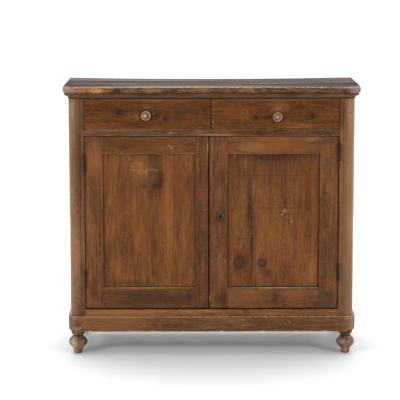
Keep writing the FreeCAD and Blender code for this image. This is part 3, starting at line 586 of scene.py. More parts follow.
# Inside and drawer boxes: never finished, yellowed and matt
BARE_PINE = Pine("bare_pine", "#54402b", "#75593c", "#8c6f4e", "#a08460", rubbed="#a78c66", roughness=0.65,
                 warm=0.05, cool=0.25, red=0.08, grime=0.4, contrast=0.8)
# Back: boards of several trees, browned by age, each 171 mm wide
BACK_PINE = replace(BARE_PINE, dark="#4d3a26", body="#654c33", light="#775b3e", glow="#8a6d4d",
                    board=171 * MM, cool=0.3, rub=0.3, cloud=90 * MM)
# Hinges, screws and bolts: black and dull
IRON = Iron()
# Plate of the keyhole: paler where the key has rubbed it
RUBBED_IRON = Iron(dark="#2e2419", worn="#6a5a44", rust="#4a3520", pit=7 * MM)
# Case of the lock: nearly black
LOCK_IRON = Iron(dark="#17110d", worn="#35291f", rust="#362216")


# Knots and marks that belong to single drawers and doors: worn, stained, scratched and patched places,
# and some painted shade and painted highlights, each given by its place on the front
LEFT_DRAWER_KNOTS = (Knot(-372, 996, 11), Knot(-185, 964, 7))
LEFT_DRAWER_MARKS = (
    Mark(-110, 985, 170, 90, "#4a2c16", 0.32, ragged=0.6),
    # The first mark below is painted shade at the drawer's right end, beside the gap between the two
    # drawers
    Mark(-22, 985, 26, 44, "#3b2417", 0.55, ragged=1.5), Mark(-77, 967, 75, 26, "#6d401b", 0.4),
    Mark(-219, 980, 22, 13, "#28170b", 0.7),
    Mark(-372, 995, 8, 7, "#1f1009", 0.85), Mark(-186, 963, 6, 5, "#250f06", 0.8),
    Mark(-255, 1009, 30, 20, "#7a5232", 0.45), Mark(-263, 1011, 9, 5, "#8a6442", 0.6),
    Mark(-300, 972, 16, 18, "#85603f", 0.6, ragged=2.5), Mark(-234, 983, 9, 7, "#7d5c42", 0.6))
RIGHT_DRAWER_KNOTS = (Knot(176, 968, 10), Knot(402, 978, 11))
RIGHT_DRAWER_MARKS = (
    Mark(100, 985, 170, 70, "#744318", 0.4), Mark(402, 978, 46, 8, "#2f1c0d", 0.5),
    Mark(402, 979, 10, 9, "#160b05", 0.95),
    Mark(225, 968, 24, 14, "#27160a", 0.7), Mark(267, 1008, 52, 32, "#85532f", 0.55),
    Mark(262, 1004, 20, 13, "#9a6a48", 0.5), Mark(5, 952, 3, 10, "#a5886c", 0.65),
    Mark(143, 990, 3, 8, "#9a7550", 0.45), Mark(214, 969, 38, 8, "#36200f", 0.6),
    Mark(176, 969, 12, 9, "#190d06", 0.95))
LEFT_DOOR_FINISHES = {"lock_stile": DARK_DOOR_PINE, "panel": PANEL_PINE}
LEFT_DOOR_KNOTS = {"rails": (Knot(-356, 849, 9),), "panel": (Knot(-251, 659, 9),)}
LEFT_DOOR_MARKS = {
    "hinge_stile": (Mark(-482, 790, 42, 80, "#8a5420", 0.6), Mark(-470, 560, 32, 110, "#553a24", 0.3),
                    Mark(-467, 880, 34, 20, "#4a3526", 0.55)),
    "lock_stile": (Mark(-35, 304, 14, 38, "#6b321a", 0.5), Mark(-45, 880, 40, 18, "#463629", 0.6),
                   Mark(-16, 850, 3, 42, "#a5876b", 0.75), Mark(-27, 595, 8, 3, "#9b7c5c", 0.7),
                   Mark(-27, 860, 6, 6, "#1e1109", 0.85)),
    "rails": (Mark(-266, 858, 260, 60, "#5c3204", 0.55), Mark(-420, 886, 60, 9, "#463627", 0.6),
              Mark(-266, 232, 260, 60, "#472e1b", 0.6), Mark(-90, 232, 14, 60, "#2b1c12", 0.5),
              # The first mark below is a painted highlight on the bottom rail's upper arris, where the
              # ledge catches the light
              Mark(-252, 276, 240, 4, "#b39670", 0.85, ragged=1.5), Mark(-110, 881, 60, 16, "#443225", 0.5),
              Mark(-162, 848, 4, 11, "#b59570", 0.7, tilt=0.4),
              Mark(-171, 854, 3, 8, "#b59570", 0.6, tilt=0.3)),
    "panel": (Mark(-252, 640, 300, 330, "#59300d", 0.28, ragged=0.4),
              Mark(-229, 760, 36, 150, "#4f2f19", 0.6, ragged=0.35, soft=0.4),
              Mark(-229, 822, 46, 34, "#38210f", 0.6), Mark(-206, 712, 20, 62, "#2c1b10", 0.75),
              Mark(-276, 688, 24, 14, "#432c18", 0.65, ragged=1.6),
              Mark(-226, 690, 26, 22, "#2f1e12", 0.7), Mark(-258, 697, 24, 16, "#4a321d", 0.6),
              Mark(-231, 560, 18, 90, "#5a371d", 0.5), Mark(-294, 762, 56, 56, "#8a5d33", 0.42, ragged=1.8),
              Mark(-174, 560, 25, 400, "#965d2b", 0.5, ragged=0.7), Mark(-123, 636, 22, 20, "#77381a", 0.4),
              Mark(-415, 631, 10, 40, "#8a5a2c", 0.5), Mark(-315, 623, 12, 50, "#8a5a2c", 0.5),
              Mark(-303, 468, 12, 50, "#8a5a2c", 0.5), Mark(-235, 329, 20, 28, "#352211", 0.6),
              Mark(-337, 294, 130, 18, "#3a2414", 0.45),
              Mark(-241, 757, 34, 7, "#91614a", 0.45, tilt=0.08, ragged=2.4),
              Mark(-296, 783, 38, 5, "#9c7040", 0.42, tilt=0.05, ragged=1.6),
              Mark(-303, 771, 34, 5, "#9c7040", 0.38, tilt=-0.12, ragged=1.6),
              Mark(-309, 758, 30, 5, "#986a3c", 0.45, tilt=0.1, ragged=1.6),
              Mark(-283, 748, 18, 18, "#9c7043", 0.55, ragged=1.5),
              Mark(-283, 748, 9, 9, "#6e4a26", 0.8),
              Mark(-263, 742, 6, 26, "#9c7052", 0.4, tilt=0.1, ragged=2.4),
              Mark(-71.5, 545, 2.5, 330, "#3a2110", 0.55))}
RIGHT_DOOR_FINISHES = {"panel": PANEL_PINE}
RIGHT_DOOR_KNOTS = {"panel": (Knot(113, 380, 18), Knot(204, 375, 18))}
RIGHT_DOOR_MARKS = {
    "lock_stile": (Mark(21, 868, 28, 24, "#4a3428", 0.6), Mark(39, 232, 34, 44, "#2f1d10", 0.6),
                   Mark(-8, 231, 3, 14, "#b59d80", 0.8), Mark(55, 386, 3, 12, "#a2805a", 0.7),
                   # Dirt and painted shade round the keyhole plate, then a crisp ring of painted shade at
                   # its rim
                   Mark(35, 569, 34, 44, "#472a1c", 0.65, ragged=1.6),
                   Mark(34, 570, 18, 25, "#211309", 0.8, ragged=0.8, soft=0.4)),
    "rails": (Mark(268, 858, 250, 60, "#84521f", 0.5), Mark(165, 850, 80, 26, "#9a6a38", 0.35),
              Mark(150, 235, 130, 60, "#855630", 0.55), Mark(330, 240, 90, 50, "#80502a", 0.45),
              Mark(257, 232, 16, 40, "#392413", 0.7), Mark(319, 251, 44, 18, "#8f5a2c", 0.5),
              # The first mark below is a painted highlight on the bottom rail's upper arris, where the
              # ledge catches the light
              Mark(268, 276, 240, 4, "#bb9b76", 0.85, ragged=1.5), Mark(393, 877, 28, 9, "#8b6b45", 0.45)),
    "hinge_stile": (Mark(475, 874, 46, 22, "#453227", 0.7), Mark(479, 330, 70, 190, "#4f3a2c", 0.15),
                    Mark(479, 222, 90, 62, "#483427", 0.5, soft=0.6),
                    Mark(462, 250, 18, 24, "#392a20", 0.5),
                    # Painted shade in the gap between the door and the post
                    Mark(511, 540, 7, 900, "#1a0e07", 0.9)),
    # Its second mark is painted shadow cast by the top rail over the panel's top
    "panel": (Mark(246, 790, 280, 130, "#4a2c17", 0.6, ragged=0.6), Mark(246, 822, 280, 40, "#2d1a0e", 0.8),
              Mark(137, 790, 4, 34, "#8a6549", 0.5), Mark(93, 812, 5, 16, "#8a6a50", 0.5, tilt=0.4),
              Mark(241, 509, 68, 130, "#845528", 0.45), Mark(370, 700, 40, 160, "#6f3a1c", 0.35),
              Mark(153, 600, 19, 150, "#2f1f17", 0.82, ragged=1.4), Mark(246, 300, 280, 60, "#553527", 0.2),
              Mark(204, 374, 34, 38, "#835839", 0.4, ragged=0.7, soft=0.6),
              Mark(204, 375, 25, 25, "#3a2315", 0.9, ragged=0.6, soft=0.55),
              Mark(203, 377, 14, 13, "#6b4830", 0.6, ragged=0.5, soft=0.6),
              Mark(203, 376, 7, 7, "#3a2415", 0.7),
              Mark(226, 333, 28, 26, "#3d2a1a", 0.72),
              Mark(113, 380, 30, 33, "#38241a", 0.75, ragged=0.7, soft=0.7),
              Mark(112, 379, 15, 14, "#60412b", 0.5, ragged=0.5, soft=0.6),
              Mark(114, 382, 7, 9, "#1d120d", 0.8),
              Mark(240, 734, 200, 2.5, "#351d0d", 0.5), Mark(240, 601, 200, 2.5, "#351d0d", 0.5),
              Mark(140, 476, 70, 3, "#351d0d", 0.55), Mark(161.5, 440, 2.8, 250, "#1c0f07", 0.75),
              Mark(162, 452, 13, 70, "#3d281b", 0.55, ragged=1.4),
              Mark(168, 690, 2.5, 60, "#94795a", 0.3), Mark(292, 590, 12, 3, "#c0a27a", 0.8, tilt=-0.7),
              Mark(284, 574, 8, 3, "#b6976f", 0.7, tilt=-0.7),
              Mark(300, 585, 10, 3, "#a9875a", 0.6, tilt=-0.6),
              Mark(325, 548, 10, 3, "#b6976f", 0.7, tilt=-0.9),
              Mark(318, 560, 7, 3, "#a88a62", 0.6, tilt=0.6),
              Mark(407, 345, 22, 80, "#9a6433", 0.6))}


def rounded_loop(corners: np.ndarray, steps: int = 5,
                 lead: float = 1.6 * MM) -> tuple[np.ndarray, np.ndarray]:
    """Closed outlines with round corners.

    Each corner P with unit directions u and v to its neighbours and half angle h between them gets an arc
    about P + r / sin(h) along the bisector, with a point a short lead away on each side to hold the flats.

    Args:
        corners: array (..., m, 3) of two plane coordinates and a corner radius, anticlockwise.
        steps: points on each arc.
        lead: distance from an arc to its holding points.
    Returns:
        Points (..., m * (steps + 2), 2), and a mask of the same length that is one on the arcs.
    """
    place = corners[..., :2]
    radius = corners[..., 2:]
    back = np.roll(place, 1, -2) - place
    ahead = np.roll(place, -1, -2) - place
    u = back / np.linalg.norm(back, axis=-1, keepdims=True)
    v = ahead / np.linalg.norm(ahead, axis=-1, keepdims=True)
    half = np.arccos(np.clip((u * v).sum(-1, keepdims=True), -1, 1)) / 2
    bisector = (u + v) / np.linalg.norm(u + v, axis=-1, keepdims=True)
    centre = place + bisector * radius / np.sin(half)
    first = place + u * radius / np.tan(half)
    last = place + v * radius / np.tan(half)
    share = np.linspace(0, 1, steps)[:, None]
    swing = (np.pi - 2 * half)[..., None, :]
    a = (first - centre)[..., None, :]
    b = (last - centre)[..., None, :]
    spoke = np.sin((1 - share) * swing) * a + np.sin(share * swing) * b
    arcs = centre[..., None, :] + spoke / np.sin(swing)
    held = np.concatenate([(first + u * lead)[..., None, :], arcs, (last + v * lead)[..., None, :]], -2)
    mask = np.zeros(steps + 2)
    mask[1:-1] = 1
    shape = held.shape[:-3] + (-1, 2)
    return held.reshape(shape), np.tile(mask, corners.shape[-2])


def ripple(along: np.ndarray, seed: int, shortest: float) -> np.ndarray:
    """Uneven line between about -1 and 1: a sum of four sines with growing wavelengths and seeded phases.

    Args:
        along: distances.
        seed: seed of the phases.
        shortest: shortest wavelength.
    Returns:
        One value for each distance.
    """
    phases = np.random.default_rng(seed).uniform(0, 2 * np.pi, 4)
    lengths = shortest * np.array([1.0, 1.7, 2.9, 5.3])
    return np.sin(2 * np.pi * along[..., None] / lengths + phases).sum(-1) / 2.5


@dataclass
class Shell:
    """A closed surface: rows of closed loops (rows, columns, 3), capped at both ends, and its wear.

    Wear is one where the surface is rubbed, minus one where dirt gathers and zero between. Faces beside the
    columns that second marks with a one take the piece's second finish.
    """

    grid: np.ndarray
    wear: np.ndarray
    second: np.ndarray | None = None

    def faces(self, start: int) -> list[list[int]]:
        """Quads between neighbouring rows and a cap at each end.

        Args:
            start: index of the first point.
        Returns:
            Point indices of each face.
        """
        rows, columns, _ = self.grid.shape
        i, j = np.meshgrid(np.arange(rows - 1), np.arange(columns), indexing="ij")
        k = (j + 1) % columns
        here, ahead = i * columns, (i + 1) * columns
        quads = np.stack([here + j, here + k, ahead + k, ahead + j], -1)
        ring = np.arange(columns)
        caps = [start + ring[::-1], start + (rows - 1) * columns + ring]
        return (start + quads.reshape(-1, 4)).tolist() + [c.tolist() for c in caps]

    def finishes(self) -> np.ndarray:
        """Number of each face's finish.

        Returns:
            Zero for the first finish and one for the second, in the order of the faces.
        """
        rows, columns, _ = self.grid.shape
        flags = np.zeros(columns, int) if self.second is None else self.second
        return np.append(np.tile(flags, rows - 1), (0, 0))


def worn_board(low: np.ndarray, high: np.ndarray, axis: int, arris: float, seed: int,
               joined: bool = False) -> Shell:
    """A board whose twelve arrises are rubbed round.

    Rows run along the board. Each is a rectangle with four round corners whose radius is the arris times
    one plus half a ripple, and the ends draw in on a quarter circle.

    Args:
        low: lowest corner in metres.
        high: highest corner in metres.
        axis: axis of the board's length, 0 to 2.
        arris: mean radius of the arrises.
        seed: seed of the wear.
        joined: whether its ends meet other boards, which keeps them crisp.
    Returns:
        The board's surface.
    """
    row_pitch, wear_length, margin = 18 * MM, 60 * MM, 2.5 * arris
    low, high = np.asarray(low, float), np.asarray(high, float)
    end = arris / 6 if joined else arris
    across, through = (axis + 1) % 3, (axis + 2) % 3
    turn = np.linspace(0, np.pi / 2, 4)
    near_end = end * (1 - np.cos(turn))
    length = high[axis] - low[axis]
    body = np.linspace(margin, length - margin, max(4, int(length / row_pitch)))
    along = np.concatenate([near_end, body, length - near_end[::-1]])
    draw_in = end * (1 - np.sin(turn))
    inset = np.concatenate([draw_in, np.zeros(len(body)), draw_in[::-1]])
    corners = np.zeros((len(along), 4, 3))
    for n, (b, c) in enumerate(((low, low), (high, low), (high, high), (low, high))):
        corners[:, n, 0] = b[across] + (inset if b is low else -inset)
        corners[:, n, 1] = c[through] + (inset if c is low else -inset)
        corners[:, n, 2] = arris * (1 + 0.5 * ripple(along, seed + n, wear_length))
    loops, mask = rounded_loop(corners)
    grid = np.zeros(loops.shape[:2] + (3,))
    grid[..., axis] = low[axis] + along[:, None]
    grid[..., across] = loops[..., 0]
    grid[..., through] = loops[..., 1]
    ends = (inset > 0) * (0.0 if joined else 1.0)
    return Shell(grid, np.maximum(mask[None, :], ends[:, None]))


def rail_pair(low: np.ndarray, high: np.ndarray, axis: int, heights: tuple[float, float], arris: float,
              seed: int) -> tuple[list[Shell], np.ndarray, np.ndarray]:
    """Two rails along the head and the foot of a frame.

    Args:
        low: lowest corner of the pair in metres.
        high: highest corner.
        axis: axis of their length.
        heights: height of the upper rail and of the lower one.
        arris: mean radius of their arrises.
        seed: seed of their wear.
    Returns:
        Both surfaces, and the lowest and the highest corner of the opening between them.
    """
    upper, lower = low.copy(), high.copy()
    upper[2] = high[2] - heights[0]
    lower[2] = low[2] + heights[1]
    shells = [worn_board(upper, high, axis, arris, seed, True),
              worn_board(low, lower, axis, arris, seed + 10, True)]
    return shells, np.append(low[:2], lower[2]), np.append(high[:2], upper[2])


def run_length(path: np.ndarray) -> np.ndarray:
    """Distance from the start of a path to each of its points."""
    return np.concatenate([[0], np.cumsum(np.linalg.norm(np.diff(path, axis=0), axis=1))])


def straight_sweep(loops: np.ndarray, mask: np.ndarray, stations: np.ndarray, axis: int) -> Shell:
    """One outline, or one for each station, carried along an axis.

    Args:
        loops: outline points (m, 2) or (n, m, 2) in the two axes that follow the axis in the order X, Y, Z.
        mask: where the outline is rubbed.
        stations: places along the axis, rising.
        axis: axis 0 to 2.
    Returns:
        The surface.
    """
    loops = np.broadcast_to(loops, (len(stations),) + loops.shape[-2:])
    grid = np.zeros(loops.shape[:2] + (3,))
    grid[..., axis] = stations[:, None]
    grid[..., (axis + 1) % 3] = loops[..., 0]
    grid[..., (axis + 2) % 3] = loops[..., 1]
    return Shell(grid, np.broadcast_to(mask, grid.shape[:2]))


def plan_sweep(loops: np.ndarray, mask: np.ndarray, path: np.ndarray, outward: np.ndarray) -> Shell:
    """Outlines of (reach outwards, height) carried along a path in plan, with the inside on its right.

    Each point is the path's point plus its outward normal times the reach, at the outline's height.

    Args:
        loops: outline points (m, 2) or (n, m, 2), anticlockwise.
        mask: where the outline is rubbed.
        path: points (n, 2).
        outward: unit normals (n, 2).
    Returns:
        The surface.
    """
    loops = np.broadcast_to(loops, (len(path),) + loops.shape[-2:])
    plan = path[:, None, :] + outward[:, None, :] * loops[..., :1]
    return Shell(np.concatenate([plan, loops[..., 1:]], -1), np.broadcast_to(mask, loops.shape[:2]))


def turned(profile: np.ndarray, base: Vector, axis: Vector, across: Vector, sides: int = 64) -> Shell:
    """A turned piece: each profile point (radius, reach) becomes a ring about the axis.

    A point is base + reach * axis + radius * (cos a * across + sin a * (axis x across)). Wear follows the
    profile's turn per length: rubbed where it bulges, dirty where it is hollow.

    Args:
        profile: points (n, 2) with rising reach.
        base: point of the axis.
        axis: unit axis.
        across: unit vector square to the axis.
        sides: points of a ring.
    Returns:
        The surface.
    """
    angle = np.linspace(0, 2 * np.pi, sides, endpoint=False)
    other = np.array(axis.cross(across))
    ring = np.cos(angle)[:, None] * np.array(across) + np.sin(angle)[:, None] * other
    grid = np.array(base) + profile[:, None, 1:] * np.array(axis) + profile[:, None, :1] * ring
    step = np.diff(profile, axis=0, append=2 * profile[-1:] - profile[-2:-1])
    heading = np.unwrap(np.arctan2(step[:, 1], step[:, 0]))
    turn = np.diff(heading, prepend=heading[:1]) / np.linalg.norm(step, axis=1)
    sharp_radius = 1.6 * MM
    worn = np.clip(turn * sharp_radius, -1, 1)
    return Shell(grid, np.broadcast_to(worn[:, None], grid.shape[:2]))


def flowing(points: list[tuple[float, float]], between: int = 6) -> np.ndarray:
    """A smooth profile through points: a cubic through each pair with slopes from its neighbours.

    Args:
        points: (radius, reach) in millimetres; a repeated point makes a sharp corner.
        between: steps from a point to the next.
    Returns:
        Points in metres (n, 2).
    """
    p = np.array([points[0]] + points + [points[-1]], float) * MM
    share = np.linspace(0, 1, between, endpoint=False)[None, :, None]
    moves = np.any(p[2:-1] != p[1:-2], axis=1)
    p0, p1, p2, p3 = (p[i:len(p) - 3 + i][moves, None, :] for i in range(4))
    curve = 0.5 * (2 * p1 + (p2 - p0) * share + (2 * p0 - 5 * p1 + 4 * p2 - p3) * share ** 2
                   + (3 * p1 - p0 - 3 * p2 + p3) * share ** 3)
    return np.concatenate([curve.reshape(-1, 2), p[-1:]])


def mesh_of(name: str, shells: list[Shell]) -> bpy.types.Mesh:
    """One mesh from closed surfaces, smooth but for its sharp edges.

    Args:
        name: name of the mesh.
        shells: its surfaces.
    Returns:
        The mesh, with its wear as an attribute of the points.
    """
    points, wear, faces = [], [], []
    for shell in shells:
        faces += shell.faces(sum(len(p) for p in points))
        points.append(shell.grid.reshape(-1, 3))
        wear.append(shell.wear.reshape(-1))
    mesh = bpy.data.meshes.new(name)
    mesh.from_pydata(np.concatenate(points).tolist(), [], faces)
    mesh.attributes.new("wear", "FLOAT", "POINT").data.foreach_set("value", np.concatenate(wear))
    mesh.polygons.foreach_set("use_smooth", np.ones(len(mesh.polygons), bool))
    mesh.polygons.foreach_set("material_index", np.concatenate([shell.finishes() for shell in shells]))
    mesh.set_sharp_from_angle(angle=SHARP_ANGLE)
    return mesh


def make_piece(name: str, shells: list[Shell], materials: list[Material], body: str, slot: str,
               *nodes: str) -> bpy.types.Object:
    """An object from closed surfaces, riding on a body and standing for solids of the frame.

    Args:
        name: name of the piece.
        shells: its surfaces.
        materials: its finish, and its second one where it has two.
        body: body that it rides on.
        slot: name of the kind of its finish, which is not used.
        nodes: solids that it stands for.
    Returns:
        The object.
    """
    piece = bpy.data.objects.new(name, mesh_of(name, shells))
    bpy.context.scene.collection.objects.link(piece)
    for material in materials:
        piece.data.materials.append(material)
    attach(piece, body)
    if nodes:
        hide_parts(*nodes)
    log.info("%s on %s stands for %s", name, body, ", ".join(nodes) or "nothing in the frame")
    return piece


def cut_away(piece: bpy.types.Object, shell: Shell) -> None:
    """Cuts a closed surface out of a piece and keeps the result in its mesh.

    Args:
        piece: the piece.
        shell: what is cut away.
    """
    cutter = bpy.data.objects.new("cutter", mesh_of("cutter", [shell]))
    bpy.context.scene.collection.objects.link(cutter)
    cut = piece.modifiers.new("cut", "BOOLEAN")
    cut.object = cutter
    cut.solver = "EXACT"
    graph = bpy.context.evaluated_depsgraph_get()
    piece.data = bpy.data.meshes.new_from_object(piece.evaluated_get(graph))
    piece.data.set_sharp_from_angle(angle=SHARP_ANGLE)
    piece.modifiers.clear()
    bpy.data.objects.remove(cutter)


def dress(node: str, material: Material) -> None:
    """Gives a solid of the frame its finish.

    Args:
        node: name of the solid's node.
        material: its finish.
    """
    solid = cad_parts[node]
    solid.data.materials.clear()
    solid.data.materials.append(material)
    log.info("%s dressed in %s", node, material.name)


def corners_of(node: str) -> tuple[np.ndarray, np.ndarray]:
    """Lowest and highest corner of a solid of the frame, as arrays."""
    low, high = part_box(node)
    return np.array(low), np.array(high)


@dataclass
class Carcass:
    """Posts, rails, sides, back and inner boards."""

    arris: float = 1.6 * MM
    groove_half: float = 1.6 * MM
    groove_deep: float = 1.6 * MM
    groove_dirt: float = 0.35
    groove_dirt_deep: float = 9 * MM
    rail_marks: tuple[Mark, ...] = (
        Mark(-330, 908, 150, 9, "#4a382e", 0.55, ragged=1.6),
        Mark(-197, 912, 34, 12, "#3a2412", 0.6), Mark(-47, 913, 36, 9, "#8f4c2e", 0.7),
        Mark(-489, 911, 30, 10, "#8a4a30", 0.65), Mark(323, 919, 34, 8, "#6f3d24", 0.5),
        Mark(17, 899, 105, 5, "#a08052", 0.65), Mark(-165, 906, 12, 6, "#8c7460", 0.6),
        Mark(-511, 922, 7, 5, "#0d0704", 0.9))
    bottom_knots: tuple[Knot, ...] = (Knot(139, 172, 8),)
    bottom_marks: tuple[Mark, ...] = (
        # The second mark is painted shadow along the gap under the doors
        Mark(-380, 172, 260, 40, "#9c683b", 0.55), Mark(0, 188, ALONG, 6, "#170c05", 0.85),
        Mark(83, 174, 36, 8, "#743a26", 0.5), Mark(413, 174, 26, 8, "#783f28", 0.5))
    bolt_radius: float = 4 * MM
    keeper_ease: float = 0.8 * MM
    keeper_deep: float = 18 * MM
    keeper_sides: int = 32
    side_rails: tuple[float, float] = (84 * MM, 146 * MM)
    # Reach of the painted shade round the side panels, in millimetres
    side_shade: float = 6.0
    side_knots: tuple[tuple[Knot, ...], ...] = ((Knot(-70, 700, 15), Knot(90, 395, 12)),
                                                (Knot(60, 805, 14), Knot(-40, 480, 17), Knot(110, 300, 10)))
    back_count: int = 6
    back_gap: float = 0.6 * MM
    back_arris: float = 2.5 * MM
    back_knots: tuple[Knot, ...] = (Knot(-420, 720, 13), Knot(-300, 380, 16), Knot(-90, 860, 12),
                                    Knot(60, 520, 15), Knot(240, 700, 11), Knot(270, 300, 14),
                                    Knot(455, 610, 13))
    nail_levels: tuple[float, ...] = (1034 * MM, 909 * MM, 150 * MM)
    nail_inset: float = 32 * MM
    nail_sides: int = 12
    nail: tuple[tuple[float, float], ...] = ((4.0, -1), (4.0, 0.2), (3.4, 0.9), (0.4, 1.1))
    inner: tuple[tuple[str, Grain], ...] = (
        ("back_rails", Grain.ALONG_X), ("shelf", Grain.TOP_X), ("shelf_battens", Grain.ALONG_Y),
        ("drawer_divider", Grain.ALONG_Z), ("drawer_runners", Grain.ALONG_Y),
        ("drawer_stops", Grain.ALONG_X))

    def build(self) -> None:
        """Builds and dresses the carcass."""
        self.front_posts()
        self.rails()
        self.sides()
        self.back()
        self.inner_boards()

    def front_posts(self) -> None:
        """Front posts: a square with one large round and a scratched groove, carried up Z."""
        fine, arc_steps, lead, stations = self.arris / 5, 12, 0.3 * MM, 60
        for side, name in ((-1, "left_front_post"), (1, "right_front_post")):
            low, high = corners_of(name)
            front, rear = low[1], high[1]
            inner, outer = (high[0], low[0]) if side < 0 else (low[0], high[0])
            groove, half = outer - side * POST_ROUND, side * self.groove_half
            outline = [(inner, front, self.arris), (inner, rear, self.arris), (outer, rear, self.arris),
                       (outer, front, POST_ROUND - 2 * self.groove_half), (groove + half, front, fine),
                       (groove, front + self.groove_deep, fine), (groove - half, front, fine)]
            loop, _ = rounded_loop(np.array(outline if side < 0 else outline[::-1]), arc_steps, lead)
            beside = np.exp(-((loop[:, 0] - groove) / self.groove_half) ** 2)
            dirt = -self.groove_dirt * beside * (loop[:, 1] < front + self.groove_dirt_deep)
            shell = straight_sweep(loop, dirt, np.linspace(low[2], high[2], stations), 2)
            marks = self.post_marks(side, TO_MM * outer, TO_MM * front)
            wood = POST_PINE.material(name, Grain.ALONG_Z, marks=marks)
            make_piece(name + "_timber", [shell], [wood], "carcass", "stained_pine", name)

    def post_marks(self, side: int, outer: float, front: float) -> tuple[Mark, ...]:
        """Marks of a front post: painted highlights towards its rounded corner, standing for the bright
        room mirrored in it, and patches of its stain.

        Args:
            side: -1 for the left post and 1 for the right one.
            outer: the post's outer face in millimetres.
            front: its front face in millimetres.
        Returns:
            Marks, with a nail hole on the right post.
        """
        # These first two marks are painted highlights along the rounded corner, standing for the bright
        # room mirrored in it
        corner = (Mark(outer - 14 * side, 560, 22, 900, "#90633f", 0.5, y=front + 8, deep=30, ragged=0.9),
                  Mark(outer, 560, 22, 900, "#9c765b", 0.56, y=front + 24, deep=38, ragged=0.9))
        if side < 0:
            return (*corner, Mark(-535, 850, 20, 340, "#4d301b", 0.6, ragged=0.5),
                    Mark(-549, 400, 24, 230, "#a5724a", 0.55, ragged=0.9),
                    Mark(-556, 770, 22, 110, "#694226", 0.45, ragged=1.8),
                    Mark(-560, 560, 18, 80, "#73492b", 0.4, ragged=1.8),
                    Mark(-545, 290, 24, 70, "#66462d", 0.4, ragged=1.8),
                    # A painted highlight near the rounded corner at the drawers' height
                    Mark(-560, 1000, 16, 90, "#ad886a", 0.5, y=front + 12, deep=40),
                    Mark(-537, 985, 17, 90, "#6a432b", 0.85, ragged=0.3, soft=0.5),
                    Mark(-519, 985, 14, 90, "#5a3721", 0.8, ragged=0.3, soft=0.5))
        return (Mark(outer - 40, 600, 34, 900, "#835323", 0.7, ragged=0.4), corner[0],
                # Painted highlights on the rounded corner, standing for the bright room mirrored in it
                Mark(outer - 3, 560, 18, 900, "#b58e75", 0.74, y=front + 26, deep=36, ragged=0.5),
                Mark(outer - 22, 560, 16, 900, "#9d7350", 0.55, y=front + 9, deep=26, ragged=0.5),
                Mark(519, 985, 24, 90, "#532f18", 0.9, ragged=0.3, soft=0.6),
                # A painted highlight on the round at the drawers' height
                Mark(outer - 18, 985, 14, 90, "#a3785c", 0.6, ragged=0.4),
                Mark(outer - 20, 300, 90, 260, "#6f4d33", 0.5, ragged=0.9),
                Mark(556, 650, 20, 110, "#6c4628", 0.42, ragged=1.8),
                Mark(547, 830, 22, 80, "#79502a", 0.4, ragged=1.8),
                Mark(560, 430, 18, 80, "#7d5533", 0.4, ragged=1.8),
                Mark(556, 986, 5, 6, DIRT_AND_SHADE, 0.9, y=front, deep=60))

    def rails(self) -> None:
        """Rails across the front, from post to post."""
        left = corners_of("left_front_post")[1][0]
        right = corners_of("right_front_post")[0][0]
        for seed, name, finish, knots, marks in (
                (10, "drawer_rail", RAIL_PINE, (), self.rail_marks),
                (20, "bottom_rail", SILL_PINE, self.bottom_knots, self.bottom_marks)):
            low, high = corners_of(name)
            low[0], high[0] = left, right
            shell = worn_board(low, high, 0, self.arris, seed, True)
            wood = finish.material(name, Grain.ALONG_X, knots, marks)
            make_piece(name + "_timber", [shell], [wood], "carcass", "stained_pine", name)
        cut_away(bpy.data.objects["drawer_rail_timber"], self.keeper())
        dress("top_front_rail", FRAME_PINE.material("top_front_rail", Grain.ALONG_X))

    def keeper(self) -> Shell:
        """Round hole in the rail's underside over the left door's shooting bolt.

        Returns:
            The hole's surface.
        """
        low, high = corners_of("shooting_bolt")
        radius = self.bolt_radius + self.keeper_ease
        start = corners_of("drawer_rail")[0][2]
        reach = np.array([(radius, start - self.keeper_deep), (radius, start + self.keeper_deep)])
        centre = Vector(((low[0] + high[0]) / 2, low[1] + self.bolt_radius, 0))
        return turned(reach, centre, UPWARDS, RIGHTWARDS, self.keeper_sides)

    def sides(self) -> None:
        """Framed sides: rails from post to post, a panel between them and the rear posts' own solids."""
        for side, knots in zip(("left", "right"), self.side_knots):
            rails, panel, post = f"{side}_side_rails", f"{side}_side_panel", f"{side}_rear_post"
            low, high = corners_of(rails)
            low[1] = corners_of(f"{side}_front_post")[1][1]
            high[1] = corners_of(post)[0][1]
            shells, foot, head = rail_pair(low, high, 1, self.side_rails, self.arris, 40)
            wood = POST_PINE.material(rails, Grain.ALONG_Y)
            make_piece(rails + "_timber", shells, [wood], "carcass", "stained_pine", rails)
            # Painted shade in the recess round the side panel
            dirt = edge_shade(foot, head, self.side_shade, 0.85, 1)
            dress(panel, SIDE_PINE.material(panel, Grain.SIDE_Z, knots, dirt))
            dress(post, POST_PINE.material(post, Grain.SIDE_Z))

    def back(self) -> None:
        """Back of upright boards with rubbed edges, each held by two nails at every rail."""
        low, high = corners_of("back_boards")
        pitch = (high[0] - low[0] + self.back_gap) / self.back_count
        nail = flowing(list(self.nail), 3)
        boards, nails = [], []
        for n in range(self.back_count):
            left = low[0] + n * pitch
            right = left + pitch - self.back_gap
            boards.append(worn_board((left, *low[1:]), (right, *high[1:]), 2, self.back_arris, 60 + n))
            for x in (left + self.nail_inset, right - self.nail_inset):
                nails += [turned(nail, Vector((x, high[1], level)), BACKWARDS, RIGHTWARDS, self.nail_sides)
                          for level in self.nail_levels]
        joints = TO_MM * (low[0] + pitch * np.arange(self.back_count + 1))
        dirt = tuple(Mark(x, 560, 6, 1500, "#1f160d", 0.85) for x in joints)
        wood = BACK_PINE.material("back_boards", Grain.ALONG_Z, self.back_knots, dirt)
        make_piece("back_boards_timber", boards, [wood], "carcass", "bare_pine", "back_boards")
        make_piece("back_nails", nails, [IRON.material("back_nails")], "carcass", "blackened_iron")

